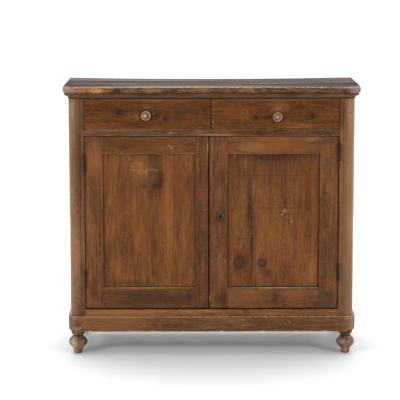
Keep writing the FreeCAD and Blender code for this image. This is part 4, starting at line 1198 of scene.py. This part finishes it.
    def inner_boards(self) -> None:
        """Unfinished wood inside and behind, grey with dust under the floor."""
        for name, grain in self.inner:
            dress(name, BARE_PINE.material(name, grain))
        under = TO_MM * corners_of("floor_board")[0][2]
        dust = Mark(0, under - 4, ALONG, 14, "#6f7173", 0.95, ragged=0.3)
        dress("floor_board", BARE_PINE.material("floor_board", Grain.TOP_X, marks=(dust,)))


@dataclass
class TopBoards:
    """Two boards of the top, with the moulding under their edge."""

    edge_round: float = 3.2 * MM
    under_round: float = 11 * MM
    corner_round: float = 71 * MM
    corner_wear: float = 5 * MM
    wear: float = 1.3 * MM
    sag: float = 6 * MM
    lead: float = 3 * MM
    seam_inset: float = 12 * MM
    side_steps: int = 8
    turn_steps: int = 16
    run_steps: int = 160
    arc_steps: int = 8
    rim_patches: tuple[tuple[float, float, str], ...] = (
        (-560, 45, "#9a7a62"), (-510, 70, "#a87440"), (-455, 36, "#cf9858"), (-415, 26, "#99592c"),
        (-330, 40, "#7d5a40"), (-240, 50, "#8a6a50"), (-150, 40, "#54351f"), (-60, 60, "#85603f"),
        (60, 50, "#7d4f33"), (150, 34, "#8a6344"), (250, 70, "#55381f"), (360, 40, "#6b4c33"),
        (470, 50, "#5b3f2b"))

    def build(self) -> None:
        """Builds the boards and dresses the moulding."""
        self.front_board()
        self.rear_board()
        low, high = corners_of("top_moulding_front")
        # A paler grey band across the moulding's face, and painted shade along its foot over the gap above
        # the drawers
        band = (Mark(0, TO_MM * high[2] - 11, ALONG, 6, "#6b4d39", 0.6, ragged=0.6),
                Mark(0, TO_MM * low[2] + 2, ALONG, 6, "#1f1108", 0.85, ragged=0.4))
        for name, grain in (("top_moulding_front", Grain.ALONG_X), ("top_moulding_returns", Grain.ALONG_Y)):
            dress(name, MOULDING_PINE.material(name, grain, marks=band))

    def sink(self, x: np.ndarray, y: np.ndarray) -> np.ndarray:
        """Depth of the warp: sag (1 - (x / half)^2), growing from nothing in front to all of it behind."""
        front, half = corners_of("top_front_board")[0][1], CAD_BOX[1][0]
        return self.sag * (1 - (x / half) ** 2) * (y - front) / (CAD_BOX[1][1] - front)

    def face_marks(self) -> tuple[Mark, ...]:
        """Pale and dark streaks of the upper face, dirt along the seam and a dark right end.

        Returns:
            Marks that lie across both boards.
        """
        low, high = corners_of("top_front_board")
        seam, top, front, back = (TO_MM * edge for edge in (high[1], high[2], low[1], CAD_BOX[1][1]))
        rows = ((-120, 560, "#a8968b", 0.62, front + 20, 110, 0.3),
                (0, ALONG, "#332a26", 0.65, seam, 24, 0.3),
                (-280, 420, "#9a8a82", 0.7, back - 85, 34, 0.3),
                (90, 560, "#413835", 0.72, back - 150, 30, 0.3),
                (-330, 380, "#93837f", 0.65, seam + 60, 30, 0.3),
                (250, 260, "#96877d", 0.6, seam + 80, 26, 0.3),
                (0, ALONG, "#1d1714", 0.75, seam, 7, 1.0),
                (330, 330, "#3f3632", 0.75, back, 130, 0.3),
                (430, 170, "#4b4140", 0.5, seam + 90, 200, 0.3),
                (0, ALONG, "#3a322d", 0.7, back, 22, 0.2))
        return tuple(Mark(x, top, wide, 100, colour, strength, y=y, deep=deep, ragged=ragged)
                     for x, wide, colour, strength, y, deep, ragged in rows)

    def rim_marks(self) -> tuple[Mark, ...]:
        """Marks of the rim: rubbed orange on the left, chipped along the front, grey at both ends, and
        painted shade along its underside.

        Returns:
            Marks of the front board's rim.
        """
        low, high = corners_of("top_front_board")
        middle = TO_MM * (low[2] + high[2]) / 2
        front = TO_MM * low[1]
        return (*(Mark(x, middle, wide, 16, colour, 0.55, y=front, deep=70, ragged=2.2)
                  for x, wide, colour in self.rim_patches),
                # Painted shade along the rim's rounded underside
                Mark(0, middle - 15, ALONG, 14, "#3a2312", 0.7, ragged=0.4),
                Mark(-588, middle + 2, 44, 26, "#a08a7c", 0.7, y=front + 45, deep=110, ragged=0.5),
                Mark(575, middle, 40, 24, "#9a897d", 0.8, y=front + 50, deep=120))

    def rim_path(self, low: np.ndarray, high: np.ndarray) -> tuple[np.ndarray, np.ndarray, np.ndarray]:
        """Path of the rim in plan, from the right end of the seam round both corners to its left end.

        Args:
            low: lowest corner of the front board in metres.
            high: its highest corner.
        Returns:
            Points of the path, its outward normals, and the X of the seam's point for each of them, which
            fan out where the path turns.
        """
        r = self.corner_round
        side = np.linspace(high[1], low[1] + r, self.side_steps, endpoint=False)
        turn = np.linspace(0, np.pi / 2, self.turn_steps, endpoint=False)
        run = np.linspace(high[0] - r, low[0] + r, self.run_steps)
        bend = np.stack([np.cos(turn), -np.sin(turn)], -1)
        right = np.concatenate([np.stack([np.full_like(side, high[0]), side], -1),
                                np.array([high[0] - r, low[1] + r]) + r * bend])
        facing = np.concatenate([np.tile([1.0, 0.0], (self.side_steps, 1)), bend])
        path = np.concatenate([right, np.stack([run, np.full_like(run, low[1])], -1), right[::-1] * MIRROR])
        outward = np.concatenate([facing, np.tile([0.0, -1.0], (self.run_steps, 1)), facing[::-1] * MIRROR])
        start, knee, stop = high[0] - self.seam_inset, high[0] - r / 2, high[0] - r
        fan = np.concatenate([np.linspace(start, knee, self.side_steps, endpoint=False),
                              np.linspace(knee, stop, self.turn_steps, endpoint=False)])
        return path, outward, np.concatenate([fan, run, -fan[::-1]])

    def front_board(self) -> None:
        """Front board: slices from the seam out to the rounded rim, in a fan round each corner.

        The rim is a quarter circle below and a smaller one above, drawn in by a ripple's square.
        """
        low, high = corners_of("top_front_board")
        tall = high[2] - low[2]
        path, outward, seam = self.rim_path(low, high)
        along = run_length(path)
        drawn = self.wear * ripple(along, 71, 35 * MM)[:, None] ** 2
        past_bend = (np.abs(path[:, 0]) - high[0] + 1.4 * self.corner_round) / self.corner_round
        past_seam = (high[1] - path[:, 1]) / self.corner_round
        at_corner = np.clip(past_bend, 0, 1) * np.clip(past_seam, 0, 1)
        edge = self.edge_round * (1 + 0.35 * ripple(along, 72, 50 * MM)) + self.corner_wear * at_corner
        edge = edge[:, None]
        under = np.full_like(edge, self.under_round)
        arc = np.linspace(0, np.pi / 2, self.arc_steps)
        out = np.concatenate([-under - self.lead, -under + under * np.sin(arc), -edge + edge * np.cos(arc),
                              -edge - self.lead], 1) - drawn
        up = np.concatenate([0 * under, under - under * np.cos(arc), tall - edge + edge * np.sin(arc),
                             0 * edge + tall], 1) + low[2]
        rim = np.concatenate([path[:, None] + outward[:, None] * out[..., None], up[..., None]], -1)
        behind = np.full_like(seam, high[1])
        inner = np.stack([seam, behind, np.full_like(seam, low[2])], -1)[:, None]
        upper = np.stack([seam, behind, high[2] - self.sink(seam, behind)], -1)[:, None]
        grid = np.concatenate([inner, rim, upper], 1)
        wear = np.zeros(grid.shape[:2])
        # The rim's upper arris is painted pale: rubbed wear, made paler as a painted highlight where light
        # catches it
        wear[:, self.arc_steps + 3:2 * self.arc_steps + 1] = 1
        rim_columns = np.zeros(grid.shape[1], int)
        rim_columns[2:2 + 3 * self.arc_steps // 2] = 1
        finishes = [TOP_PINE.material("top_front_board", Grain.TOP_X, marks=self.face_marks()),
                    RIM_PINE.material("top_front_rim", Grain.ALONG_X, marks=self.rim_marks())]
        make_piece("top_front_board_timber", [Shell(grid, wear, rim_columns)], finishes, "carcass",
                   "weathered_top_pine", "top_front_board")

    def rear_board(self) -> None:
        """Rear board: a section in X and Z with rounded ends and a sunk upper face, carried along Y."""
        low, high = corners_of("top_rear_board")
        fine, face_steps, stations_between = 0.8 * MM, 42, 20
        corners = np.array([(low[2], low[0], self.under_round), (high[2], low[0], self.edge_round),
                            (high[2], high[0], self.edge_round), (low[2], high[0], self.under_round)])
        loop, mask = rounded_loop(corners, self.arc_steps, self.lead)
        half = len(loop) // 2
        x = np.linspace(low[0], high[0], face_steps)[1:-1]
        loop = np.concatenate([loop[:half], np.stack([np.full_like(x, high[2]), x], -1), loop[half:]])
        mask = np.concatenate([mask[:half], 0 * x, mask[half:]])
        body = np.linspace(low[1] + fine, high[1] - fine, stations_between)
        stations = np.concatenate([[low[1] + fine / 4], body, [high[1]]])
        loops = np.tile(loop, (len(stations), 1, 1))
        loops[:, half:-half, 0] -= self.sink(x, stations[:, None])
        shell = straight_sweep(loops, mask * 0.5, stations, 1)
        rim = half - self.arc_steps // 2 - 1
        shell.second = np.ones(len(loop), int)
        shell.second[rim:-rim] = 0
        finishes = [TOP_PINE.material("top_rear_board", Grain.TOP_X, marks=self.face_marks()),
                    RIM_PINE.material("top_rear_rim", Grain.ALONG_Y)]
        make_piece("top_rear_board_timber", [shell], finishes, "carcass", "weathered_top_pine",
                   "top_rear_board")


@dataclass
class Base:
    """Plinth and turned feet."""

    top_arris: float = 2 * MM
    low_arris: float = 1.6 * MM
    fine: float = 0.2 * MM
    low_wear: float = 0.45
    corner_low_round: float = 14 * MM
    corner_low_tall: float = 1.7
    corner_fade: float = 120 * MM
    chips: tuple[tuple[float, float], ...] = ((-495, 10), (-240, 16), (-118, 8), (40, 12), (205, 22),
                                              (345, 14), (460, 18))
    return_marks: tuple[Mark, ...] = (
        Mark(-570, 130, 50, 60, "#82624a", 0.65, y=-210, deep=70, ragged=1.6),
        Mark(570, 132, 50, 60, "#8b6b54", 0.7, y=-210, deep=70, ragged=1.6),
        Mark(-564, 151, 22, 10, "#a88b74", 0.5, ragged=2.6),
        Mark(-534, 112, 34, 5, "#ab9076", 0.45, tilt=-0.2, ragged=2),
        Mark(-548, 128, 14, 22, "#4f3522", 0.6, ragged=1.5), Mark(-570, 112, 10, 12, "#553a27", 0.5),
        Mark(562, 150, 26, 11, "#a8937f", 0.5, ragged=2.6), Mark(572, 126, 12, 20, "#a2826b", 0.45),
        Mark(541, 112, 24, 10, "#553b27", 0.45), Mark(584, 128, 10, 26, "#5d412d", 0.3))
    foot: tuple[tuple[float, float], ...] = (
        (14.6, 0), (16.2, 1.2), (17.4, 5), (18.0, 12), (18.2, 19.5), (18.2, 19.5), (20.2, 20.2),
        (20.8, 21.6), (20.2, 23), (20.2, 23), (27.5, 29), (34.5, 38), (37.2, 48), (35.2, 57), (29, 65),
        (22.5, 71.5), (19.8, 75), (20.2, 77.5), (20.2, 77.5), (23, 79), (25.8, 82.5), (27.6, 87),
        (28.2, 91.5), (28.2, 95))

    def build(self) -> None:
        """Builds the plinth and the feet."""
        self.plinth_front()
        self.plinth_returns()
        profile = flowing(list(self.foot))
        for name in ("left_front_foot", "right_front_foot", "left_rear_foot", "right_rear_foot"):
            low, high = corners_of(name)
            middle = (low + high) / 2
            shell = turned(profile, Vector((middle[0], middle[1], low[2])), UPWARDS, RIGHTWARDS)
            marks = self.foot_marks(TO_MM * middle[0], TO_MM * middle[1])
            wood = FOOT_PINE.material(name, Grain.ALONG_Z, marks=marks)
            make_piece(name + "_turning", [shell], [wood], "carcass", "turned_foot_pine", name)

    def foot_marks(self, x: float, y: float) -> tuple[Mark, ...]:
        """Marks of a foot: painted shade on its inner side, in its neck and under the plinth, painted
        highlights on the swell and the toe, two patches and a brown toe.

        Args:
            x: place of its axis in millimetres, of which the sign says which foot it is.
            y: the same towards the back.
        Returns:
            Its marks.
        """
        # shine is the strength of the painted highlight on the swell
        inward, shine = (-1, 0.45) if x > 0 else (1, 0.8)
        # Rows: painted shade on the inner side, a painted highlight on the swell, a golden and a dark
        # patch, painted shade in the neck and on the collar under the plinth, the brown toe, a painted
        # highlight on the toe
        rows = ((34 * inward, 46, 30, 36, "#2b1b10", 0.75, 0, 60),
                (-17, 50, 20, 18, "#cdb092", shine, -24, 36), (3, 33, 16, 12, "#a3702c", 0.65, -30, 30),
                (2, 60, 16, 12, "#4f2c1e", 0.6, -24, 30), (0, 75, 60, 6, "#1d120a", 0.9, 0, 60),
                (0, 88, 70, 15, "#513621", 0.95, 0, 70), (0, 7, 40, 9, "#5f3524", 0.65, 0, 60),
                (-4, 12, 8, 5, "#a98674", 0.7, -16, 14))
        return tuple(Mark(x + aside, z, wide, tall, colour, strength, y=y + back, deep=deep)
                     for aside, z, wide, tall, colour, strength, back, deep in rows)

    def section(self, along: np.ndarray, corner: np.ndarray, seed: int) -> tuple[np.ndarray, np.ndarray]:
        """Plinth outlines of (reach, height) along a run, with ripples in the rubbed arrises.

        The outer lower arris is a small arc that grows to a large one, stretched upwards, at a corner.

        Args:
            along: distances along the run.
            corner: how far into a rubbed corner each distance is, from nothing to one.
            seed: seed of the wear.
        Returns:
            Outlines and their wear.
        """
        (_, front, low), (_, back, high) = corners_of("plinth_front")
        reach = back - front
        corners = np.zeros((len(along), 4, 3))
        corners[:, :, 0] = (0, reach, reach, 0)
        corners[:, :, 1] = (low, low, high, high)
        corners[:, :, 2] = self.fine
        low_round = self.low_arris + (self.corner_low_round - self.low_arris) * corner
        low_round = low_round * (1 + 0.5 * ripple(along, seed, 25 * MM))
        corners[:, 1, 2] = np.minimum(low_round, self.corner_low_round)
        corners[:, 2, 2] = self.top_arris * (1 + 0.4 * ripple(along, seed + 1, 60 * MM))
        loops, mask = rounded_loop(corners)
        outer_low = slice(len(mask) // 4, len(mask) // 2)
        mask[outer_low] *= self.low_wear
        stretch = 1 + (self.corner_low_tall - 1) * corner
        loops[:, outer_low, 1] = low + (loops[:, outer_low, 1] - low) * stretch[:, None]
        return loops, mask

    def plinth_front(self) -> None:
        """Straight front run of the plinth, chipped along its foot."""
        low, high = corners_of("plinth_front")
        x = np.linspace(high[0], low[0], 120)
        path = np.stack([x, np.full_like(x, high[1])], -1)
        loops, mask = self.section(high[0] - x, np.zeros_like(x), 31)
        shell = plan_sweep(loops, mask, path, np.tile([0.0, -1.0], (len(x), 1)))
        # Its second mark is a painted highlight along the upper arris
        marks = (Mark(-400, 135, 240, 50, "#855830", 0.55), Mark(-400, 156, 260, 5, "#b5845a", 0.5),
                 Mark(-319, 97, 58, 4, "#ab8d69", 0.75), Mark(317, 133, 6, 4, "#a98e6e", 0.8),
                 *(Mark(place, 97, wide, 4, "#bfa78c", 0.7) for place, wide in self.chips),
                 Mark(-60, 99, 90, 6, "#3b2413", 0.5), Mark(250, 120, 120, 14, "#5d3d22", 0.4))
        wood = PLINTH_PINE.material("plinth_front", Grain.ALONG_X, marks=marks)
        make_piece("plinth_front_timber", [shell], [wood], "carcass", "plinth_pine", "plinth_front")

    def plinth_returns(self) -> None:
        """Returns of the plinth: a quarter circle and a straight run on each side.

        The lower arris grows rounder into the corner and fades behind it.
        """
        low, high = corners_of("plinth_front")
        back = corners_of("plinth_returns")[1][1]
        turn = np.linspace(0, np.pi / 2, 20)
        facing = np.stack([-np.sin(turn), -np.cos(turn)], -1)
        side = np.linspace(high[1] + POST_ROUND, back, 30)[1:]
        path = np.concatenate([np.array([low[0], high[1] + POST_ROUND]) + POST_ROUND * facing,
                               np.stack([np.full_like(side, low[0] - POST_ROUND), side], -1)])
        outward = np.concatenate([facing, np.tile([-1.0, 0.0], (len(side), 1))])
        along = run_length(path)
        past = (along - POST_ROUND * np.pi / 2) / self.corner_fade
        rubbed = np.clip(along / POST_ROUND, 0, 1) * np.clip(1 - past, 0, 1)
        loops, mask = self.section(along, rubbed, 33)
        shells = [plan_sweep(loops, mask, path, outward),
                  plan_sweep(loops[::-1], mask, path[::-1] * MIRROR, outward[::-1] * MIRROR)]
        wood = PLINTH_PINE.material("plinth_returns", Grain.ALONG_Y, marks=self.return_marks)
        make_piece("plinth_returns_timber", shells, [wood], "carcass", "plinth_pine", "plinth_returns")


@dataclass
class Drawer:
    """One dovetailed drawer with its turned knob."""

    side: str
    seed: int
    knots: tuple[Knot, ...]
    marks: tuple[Mark, ...]
    knob_finish: Pine
    knob_heart: str
    # Strength of the painted highlight on the knob
    shine: float
    arris: float = 1.8 * MM
    tail_proud: float = 0.15 * MM
    # Reach of the painted shade in the gaps round the front, in millimetres
    rim_shade: float = 3.0
    inner: tuple[tuple[str, Grain], ...] = (("sides", Grain.ALONG_Y), ("back", Grain.ALONG_X),
                                            ("bottom", Grain.TOP_X))
    knob: tuple[tuple[float, float], ...] = (
        (12.2, 0), (13, 0.8), (12.8, 2.6), (12.2, 3.2), (12.2, 3.2), (9, 5.5), (8.5, 8.5), (9.6, 12),
        (12.8, 15.5), (17.2, 18.2), (18.9, 20.2), (19, 21.8), (18, 23.4), (16.7, 23.8), (15.4, 23),
        (14.8, 21.4), (14.8, 21.4), (13, 24.2), (10.5, 26), (7.4, 26.9), (5.7, 26.3), (5.7, 26.3),
        (5.5, 29.4), (4.2, 30.7), (2, 31), (0.3, 31))

    def build(self) -> None:
        """Builds front and knob and dresses the rest."""
        name = f"{self.side}_drawer"
        front, knob = f"{name}_front", f"{name}_knob"
        low, high = corners_of(front)
        low[0] += self.tail_proud
        high[0] -= self.tail_proud
        shell = worn_board(low, high, 0, self.arris, self.seed, True)
        x, _, z = TO_MM * sum(corners_of(knob)) / 2
        middle, half = TO_MM * (low[0] + high[0]) / 2, TO_MM * (high[0] - low[0]) / 2
        # Painted shade in the gaps round the front and round the knob, and a painted highlight along the
        # front's upper arris
        rim = (*edge_shade(low, high, self.rim_shade, 0.3), Mark(x, z - 1, 29, 28, "#2a180b", 0.75, soft=0.5),
               Mark(middle, TO_MM * high[2] - 2, 1.1 * half, 4, "#8d6343", 0.65, ragged=0.8))
        wood = DRAWER_PINE.material(front, Grain.ALONG_X, self.knots, on_front(rim + self.marks, low, high))
        make_piece(front + "_timber", [shell], [wood], name, "drawer_front_pine", front)
        for piece, grain in self.inner:
            dress(f"{name}_{piece}", BARE_PINE.material(f"{name}_{piece}", grain))
        base = Vector((x * MM, low[1], z * MM))
        turning = turned(flowing(list(self.knob), 4), base, -BACKWARDS, RIGHTWARDS)
        # A ring of painted shade in the knob's groove, its heart, a reddish top and a painted highlight
        rings = (Mark(x, z, 16, 16, "#4a311f", 0.8, ragged=0.5, soft=0.45),
                 Mark(x - 1, z + 1, 11, 11, self.knob_heart, 0.85, ragged=0.5, soft=0.5),
                 Mark(x + 2, z + 6, 8, 5, "#8a5238", 0.5), Mark(x - 4, z + 1, 7, 7, "#e6c4aa", self.shine))
        wood = self.knob_finish.material(knob, Grain.ALONG_Y, marks=rings)
        make_piece(knob + "_turning", [turning], [wood], name, "turned_knob_wood", knob)


@dataclass
class Door:
    """One framed door: two stiles, two rails and a flat panel."""

    side: str
    seed: int
    finishes: dict[str, Pine]
    knots: dict[str, tuple[Knot, ...]]
    marks: dict[str, tuple[Mark, ...]]
    # Strength of the painted shade round the panel
    seam_strength: float
    arris: float = 1.6 * MM
    rail_heights: tuple[float, float] = (73 * MM, 87 * MM)
    # The first three are reaches, in millimetres, of the painted shade round the panel, in the gaps round
    # the door and in the gap under it
    seam_shade: float = 6.0
    rim_shade: float = 4.0
    sill_shade: float = 7.0
    joint_dirt: float = 3.0

    def wood(self, piece: str, grain: Grain, extra: tuple[Mark, ...] = ()) -> Material:
        """Finish of one piece of the door, with its own knots and marks on its front.

        Args:
            piece: name of the piece within the door.
            grain: way that its grain runs.
            extra: marks that lie under its own ones.
        Returns:
            The material.
        """
        finish = self.finishes.get(piece, DOOR_PINE)
        name = f"{self.side}_door_{piece}"
        marks = on_front(extra + self.marks.get(piece, ()), *corners_of(name))
        return finish.material(name, grain, self.knots.get(piece, ()), marks)

    def build(self) -> None:
        """Builds the frame and dresses the panel."""
        name = f"{self.side}_door"
        hinge_low, hinge_high = corners_of(f"{name}_hinge_stile")
        lock_low, lock_high = corners_of(f"{name}_lock_stile")
        foot, head = np.minimum(hinge_low, lock_low), np.maximum(hinge_high, lock_high)
        # Painted shade in the gaps round the door, darkest along the gap under it
        rim = (*edge_shade(foot, head, self.rim_shade, 0.8),
               Mark(0, TO_MM * lock_low[2], ALONG, self.sill_shade, "#120a05", 0.9))
        for seed, stile, low, high in ((self.seed, "hinge_stile", hinge_low, hinge_high),
                                       (self.seed + 10, "lock_stile", lock_low, lock_high)):
            shell = worn_board(low, high, 2, self.arris, seed)
            make_piece(f"{name}_{stile}_timber", [shell], [self.wood(stile, Grain.ALONG_Z, rim)], name,
                       "door_frame_pine", f"{name}_{stile}")
        low, high = corners_of(f"{name}_rails")
        low[0] = min(hinge_high[0], lock_high[0])
        high[0] = max(hinge_low[0], lock_low[0])
        shells, foot, head = rail_pair(low, high, 0, self.rail_heights, self.arris, self.seed + 20)
        ends = tuple(Mark(TO_MM * x, 560, self.joint_dirt, THROUGH, DIRT_AND_SHADE, 0.55) for x in (low[0], high[0]))
        make_piece(f"{name}_rails_timber", shells, [self.wood("rails", Grain.ALONG_X, rim + ends)], name,
                   "door_frame_pine", f"{name}_rails")
        # Painted shade in the recess round the panel
        opening = edge_shade(foot, head, self.seam_shade, self.seam_strength)
        dress(f"{name}_panel", self.wood("panel", Grain.ALONG_Z, opening))


@dataclass
class Keyhole:
    """Keyhole through the right door's meeting stile, a round with a slot under it, and its plate."""

    x: float = 35 * MM
    z: float = 571 * MM
    radius: float = 4.6 * MM
    slot: float = 6 * MM
    height: float = 16 * MM
    spare: float = 3 * MM
    drawn: float = 0.35
    pin: tuple[tuple[float, float], ...] = ((1.8, -0.3), (1.8, 0.3), (1.3, 0.8), (0.2, 1.0))
    pin_reaches: tuple[float, float] = (0.78, -0.84)
    pin_sides: int = 12

    def build(self) -> None:
        """Builds the plate and cuts the hole through it and the stile."""
        low, high = corners_of("right_door_lock_stile")
        hole = self.hole(low[1] - self.spare, high[1] + self.spare)
        for piece in (self.plate(), bpy.data.objects["right_door_lock_stile_timber"]):
            cut_away(piece, hole)

    def hole(self, front: float, back: float) -> Shell:
        """Keyhole outline, an arc with a slot under it, carried along Y.

        Args:
            front: where it starts.
            back: where it ends.
        Returns:
            The hole's surface.
        """
        start = math.asin(self.slot / 2 / self.radius)
        turn = np.linspace(start, 2 * np.pi - start, 20)
        foot = self.z + self.radius - self.height
        rounded = np.stack([self.z - self.radius * np.cos(turn), self.x - self.radius * np.sin(turn)], -1)
        feet = [(foot, self.x + self.slot / 2), (foot, self.x - self.slot / 2)]
        outline = np.concatenate([rounded, feet])
        return straight_sweep(outline, np.zeros(len(outline)), np.array([front, back]), 1)

    def plate(self) -> bpy.types.Object:
        """Hammered plate with a pin above and below the hole.

        Its outline is an ellipse whose lower half is drawn to a point: across = a sin t (1 - d cos t cos t)
        for cos t below zero. Smaller copies of it stand further forward, which bevels the rim.

        Returns:
            The plate.
        """
        low, high = corners_of("keyhole_escutcheon")
        middle, half = (low + high) / 2, (high - low) / 2
        turn = np.linspace(0, 2 * np.pi, 72, endpoint=False)
        lower = np.minimum(np.cos(turn), 0)
        across = half[0] * np.sin(turn) * (1 - self.drawn * lower ** 2)
        outline = np.stack([half[2] * np.cos(turn), across], -1)
        sizes = np.array([0.2, 0.72, 0.93, 1.0, 1.0])
        stations = low[1] + (high[1] - low[1]) * np.array([0, 0.02, 0.2, 0.5, 1.0])
        loops = middle[[2, 0]] + sizes[:, None, None] * outline
        shells = [straight_sweep(loops, np.zeros(len(outline)), stations, 1)]
        pin = flowing(list(self.pin), 3)
        for reach in self.pin_reaches:
            place = Vector((middle[0], low[1], middle[2] + reach * half[2]))
            shells.append(turned(pin, place, -BACKWARDS, RIGHTWARDS, self.pin_sides))
        return make_piece("keyhole_escutcheon_plate", shells, [RUBBED_IRON.material("keyhole_escutcheon")],
                          "right_door", "blackened_iron", "keyhole_escutcheon")


@dataclass
class Ironwork:
    """Hinges, screws, lock and bolt."""

    nodes: tuple[str, ...] = (
        "post_hinge_leaves", "hinge_pins", "post_hinge_screws", "left_door_hinge_leaves",
        "left_door_screws", "right_door_hinge_leaves", "right_door_screws", "lock_bolt", "lock_spring",
        "bolt_plate", "shooting_bolt")

    def build(self) -> None:
        """Dresses every piece of iron, the lock's case darkest."""
        for name in self.nodes:
            dress(name, IRON.material(name))
        dress("lock_case", LOCK_IRON.material("lock_case"))


@dataclass
class Studio:
    """Pale floor, soft light and a camera at the height of the eye."""

    floor_half: float = 90.0
    floor_uneven: float = 1 / 3
    eye: tuple[float, float, float] = (-0.0625, -7.4048, 1.6688)
    pitch: float = 0.1431
    yaw: float = 0.0021
    roll: float = -0.0011
    lens: float = 161.81
    sensor: float = 36.0
    sight: float = 300.0
    world_light: float = 0.49
    overhead_light: float = 2.4
    overhead_angle: float = math.radians(60)
    overhead_place: tuple[float, float, float] = (0.0, 1.65, 4.2)
    aim: tuple[float, float, float] = (0.0, 0.0, 0.55)
    # Name, place, size and power of each soft lamp
    lamps: tuple[tuple[str, tuple[float, float, float], float, float], ...] = (
        ("key", (-3.0, -3.2, 1.9), 0.8, 53.0), ("fill", (3.2, -3.0, 1.9), 0.8, 42.5),
        ("behind", (0.0, 3.4, 0.7), 2.4, 92.0))

    def build(self) -> None:
        """Builds floor, lights and camera."""
        self.floor()
        self.lights()
        self.camera()

    def floor(self) -> None:
        """A large square of pale painted floor: matt white with a faint unevenness."""
        half = self.floor_half
        corners = [(-half, -half, 0), (half, -half, 0), (half, half, 0), (-half, half, 0)]
        mesh = bpy.data.meshes.new("studio_floor")
        mesh.from_pydata(corners, [], [(0, 1, 2, 3)])
        floor = bpy.data.objects.new("studio_floor", mesh)
        bpy.context.scene.collection.objects.link(floor)
        material, t, here = new_material("painted_floor")
        uneven = put(t, "TexNoise", {"Vector": here, "Scale": 1 / self.floor_uneven, "Detail": 2.0})
        colour = put(t, "MixRGB", uneven, linear("#f4f7f9"), linear("#f7fafc"))
        paint = put(t, "BsdfPrincipled", {"Base Color": colour, "Roughness": 0.9,
                                          "Specular IOR Level": 0.1})
        put(t, "OutputMaterial", paint)
        mesh.materials.append(material)

    def lights(self) -> None:
        """White surroundings, light from above and behind, a key on the left and a fill on the right."""
        world = bpy.data.worlds.new("white_room")
        bpy.context.scene.world = world
        world.use_nodes = True
        background = world.node_tree.nodes["Background"]
        background.inputs["Color"].default_value = (1, 1, 1, 1)
        background.inputs["Strength"].default_value = self.world_light
        for name, place, size, power in self.lamps:
            lamp = bpy.data.lights.new(name, "AREA")
            lamp.size = size
            lamp.energy = power
            self.hang(lamp, Vector(place))
        overhead = bpy.data.lights.new("overhead", "SUN")
        overhead.angle = self.overhead_angle
        overhead.energy = self.overhead_light
        self.hang(overhead, Vector(self.overhead_place))

    def hang(self, lamp: bpy.types.Light, place: Vector) -> None:
        """Hangs a lamp that the camera doesn't see, turned to the middle of the cupboard.

        Args:
            lamp: the lamp.
            place: where it hangs, in metres.
        """
        light = bpy.data.objects.new(lamp.name, lamp)
        light.location = place
        light.rotation_euler = (Vector(self.aim) - place).to_track_quat("-Z", "Y").to_euler()
        light.visible_camera = False
        bpy.context.scene.collection.objects.link(light)

    def camera(self) -> None:
        """Camera turned by yaw, pitch and roll.

        Forward is (sin yaw cos pitch, cos yaw cos pitch, -sin pitch).
        """
        ahead = math.cos(self.pitch)
        forward = Vector((math.sin(self.yaw) * ahead, math.cos(self.yaw) * ahead, -math.sin(self.pitch)))
        level = Vector((math.cos(self.yaw), -math.sin(self.yaw), 0))
        upright = level.cross(forward)
        right = level * math.cos(self.roll) + upright * math.sin(self.roll)
        up = right.cross(forward)
        turn = Matrix((right, up, -forward)).transposed().to_4x4()
        lens = bpy.data.cameras.new("eye")
        lens.lens = self.lens
        lens.sensor_width = self.sensor
        lens.clip_end = self.sight
        camera = bpy.data.objects.new("eye", lens)
        camera.matrix_world = Matrix.Translation(self.eye) @ turn
        bpy.context.scene.collection.objects.link(camera)
        bpy.context.scene.camera = camera
        bpy.context.scene.view_settings.view_transform = "Standard"


def main() -> None:
    """Builds the cupboard in order."""
    logging.basicConfig(level=logging.INFO, format="%(message)s")
    Carcass().build()
    TopBoards().build()
    Base().build()
    Drawer("left", 100, LEFT_DRAWER_KNOTS, LEFT_DRAWER_MARKS, PINK_KNOB_WOOD, "#9a6c54", 0.85).build()
    Drawer("right", 120, RIGHT_DRAWER_KNOTS, RIGHT_DRAWER_MARKS, TAN_KNOB_WOOD, "#a0825c", 0.3).build()
    Door("left", 140, LEFT_DOOR_FINISHES, LEFT_DOOR_KNOTS, LEFT_DOOR_MARKS, 0.6).build()
    Door("right", 180, RIGHT_DOOR_FINISHES, RIGHT_DOOR_KNOTS, RIGHT_DOOR_MARKS, 0.9).build()
    Keyhole().build()
    Ironwork().build()
    Studio().build()


if __name__ == "__main__":
    main()
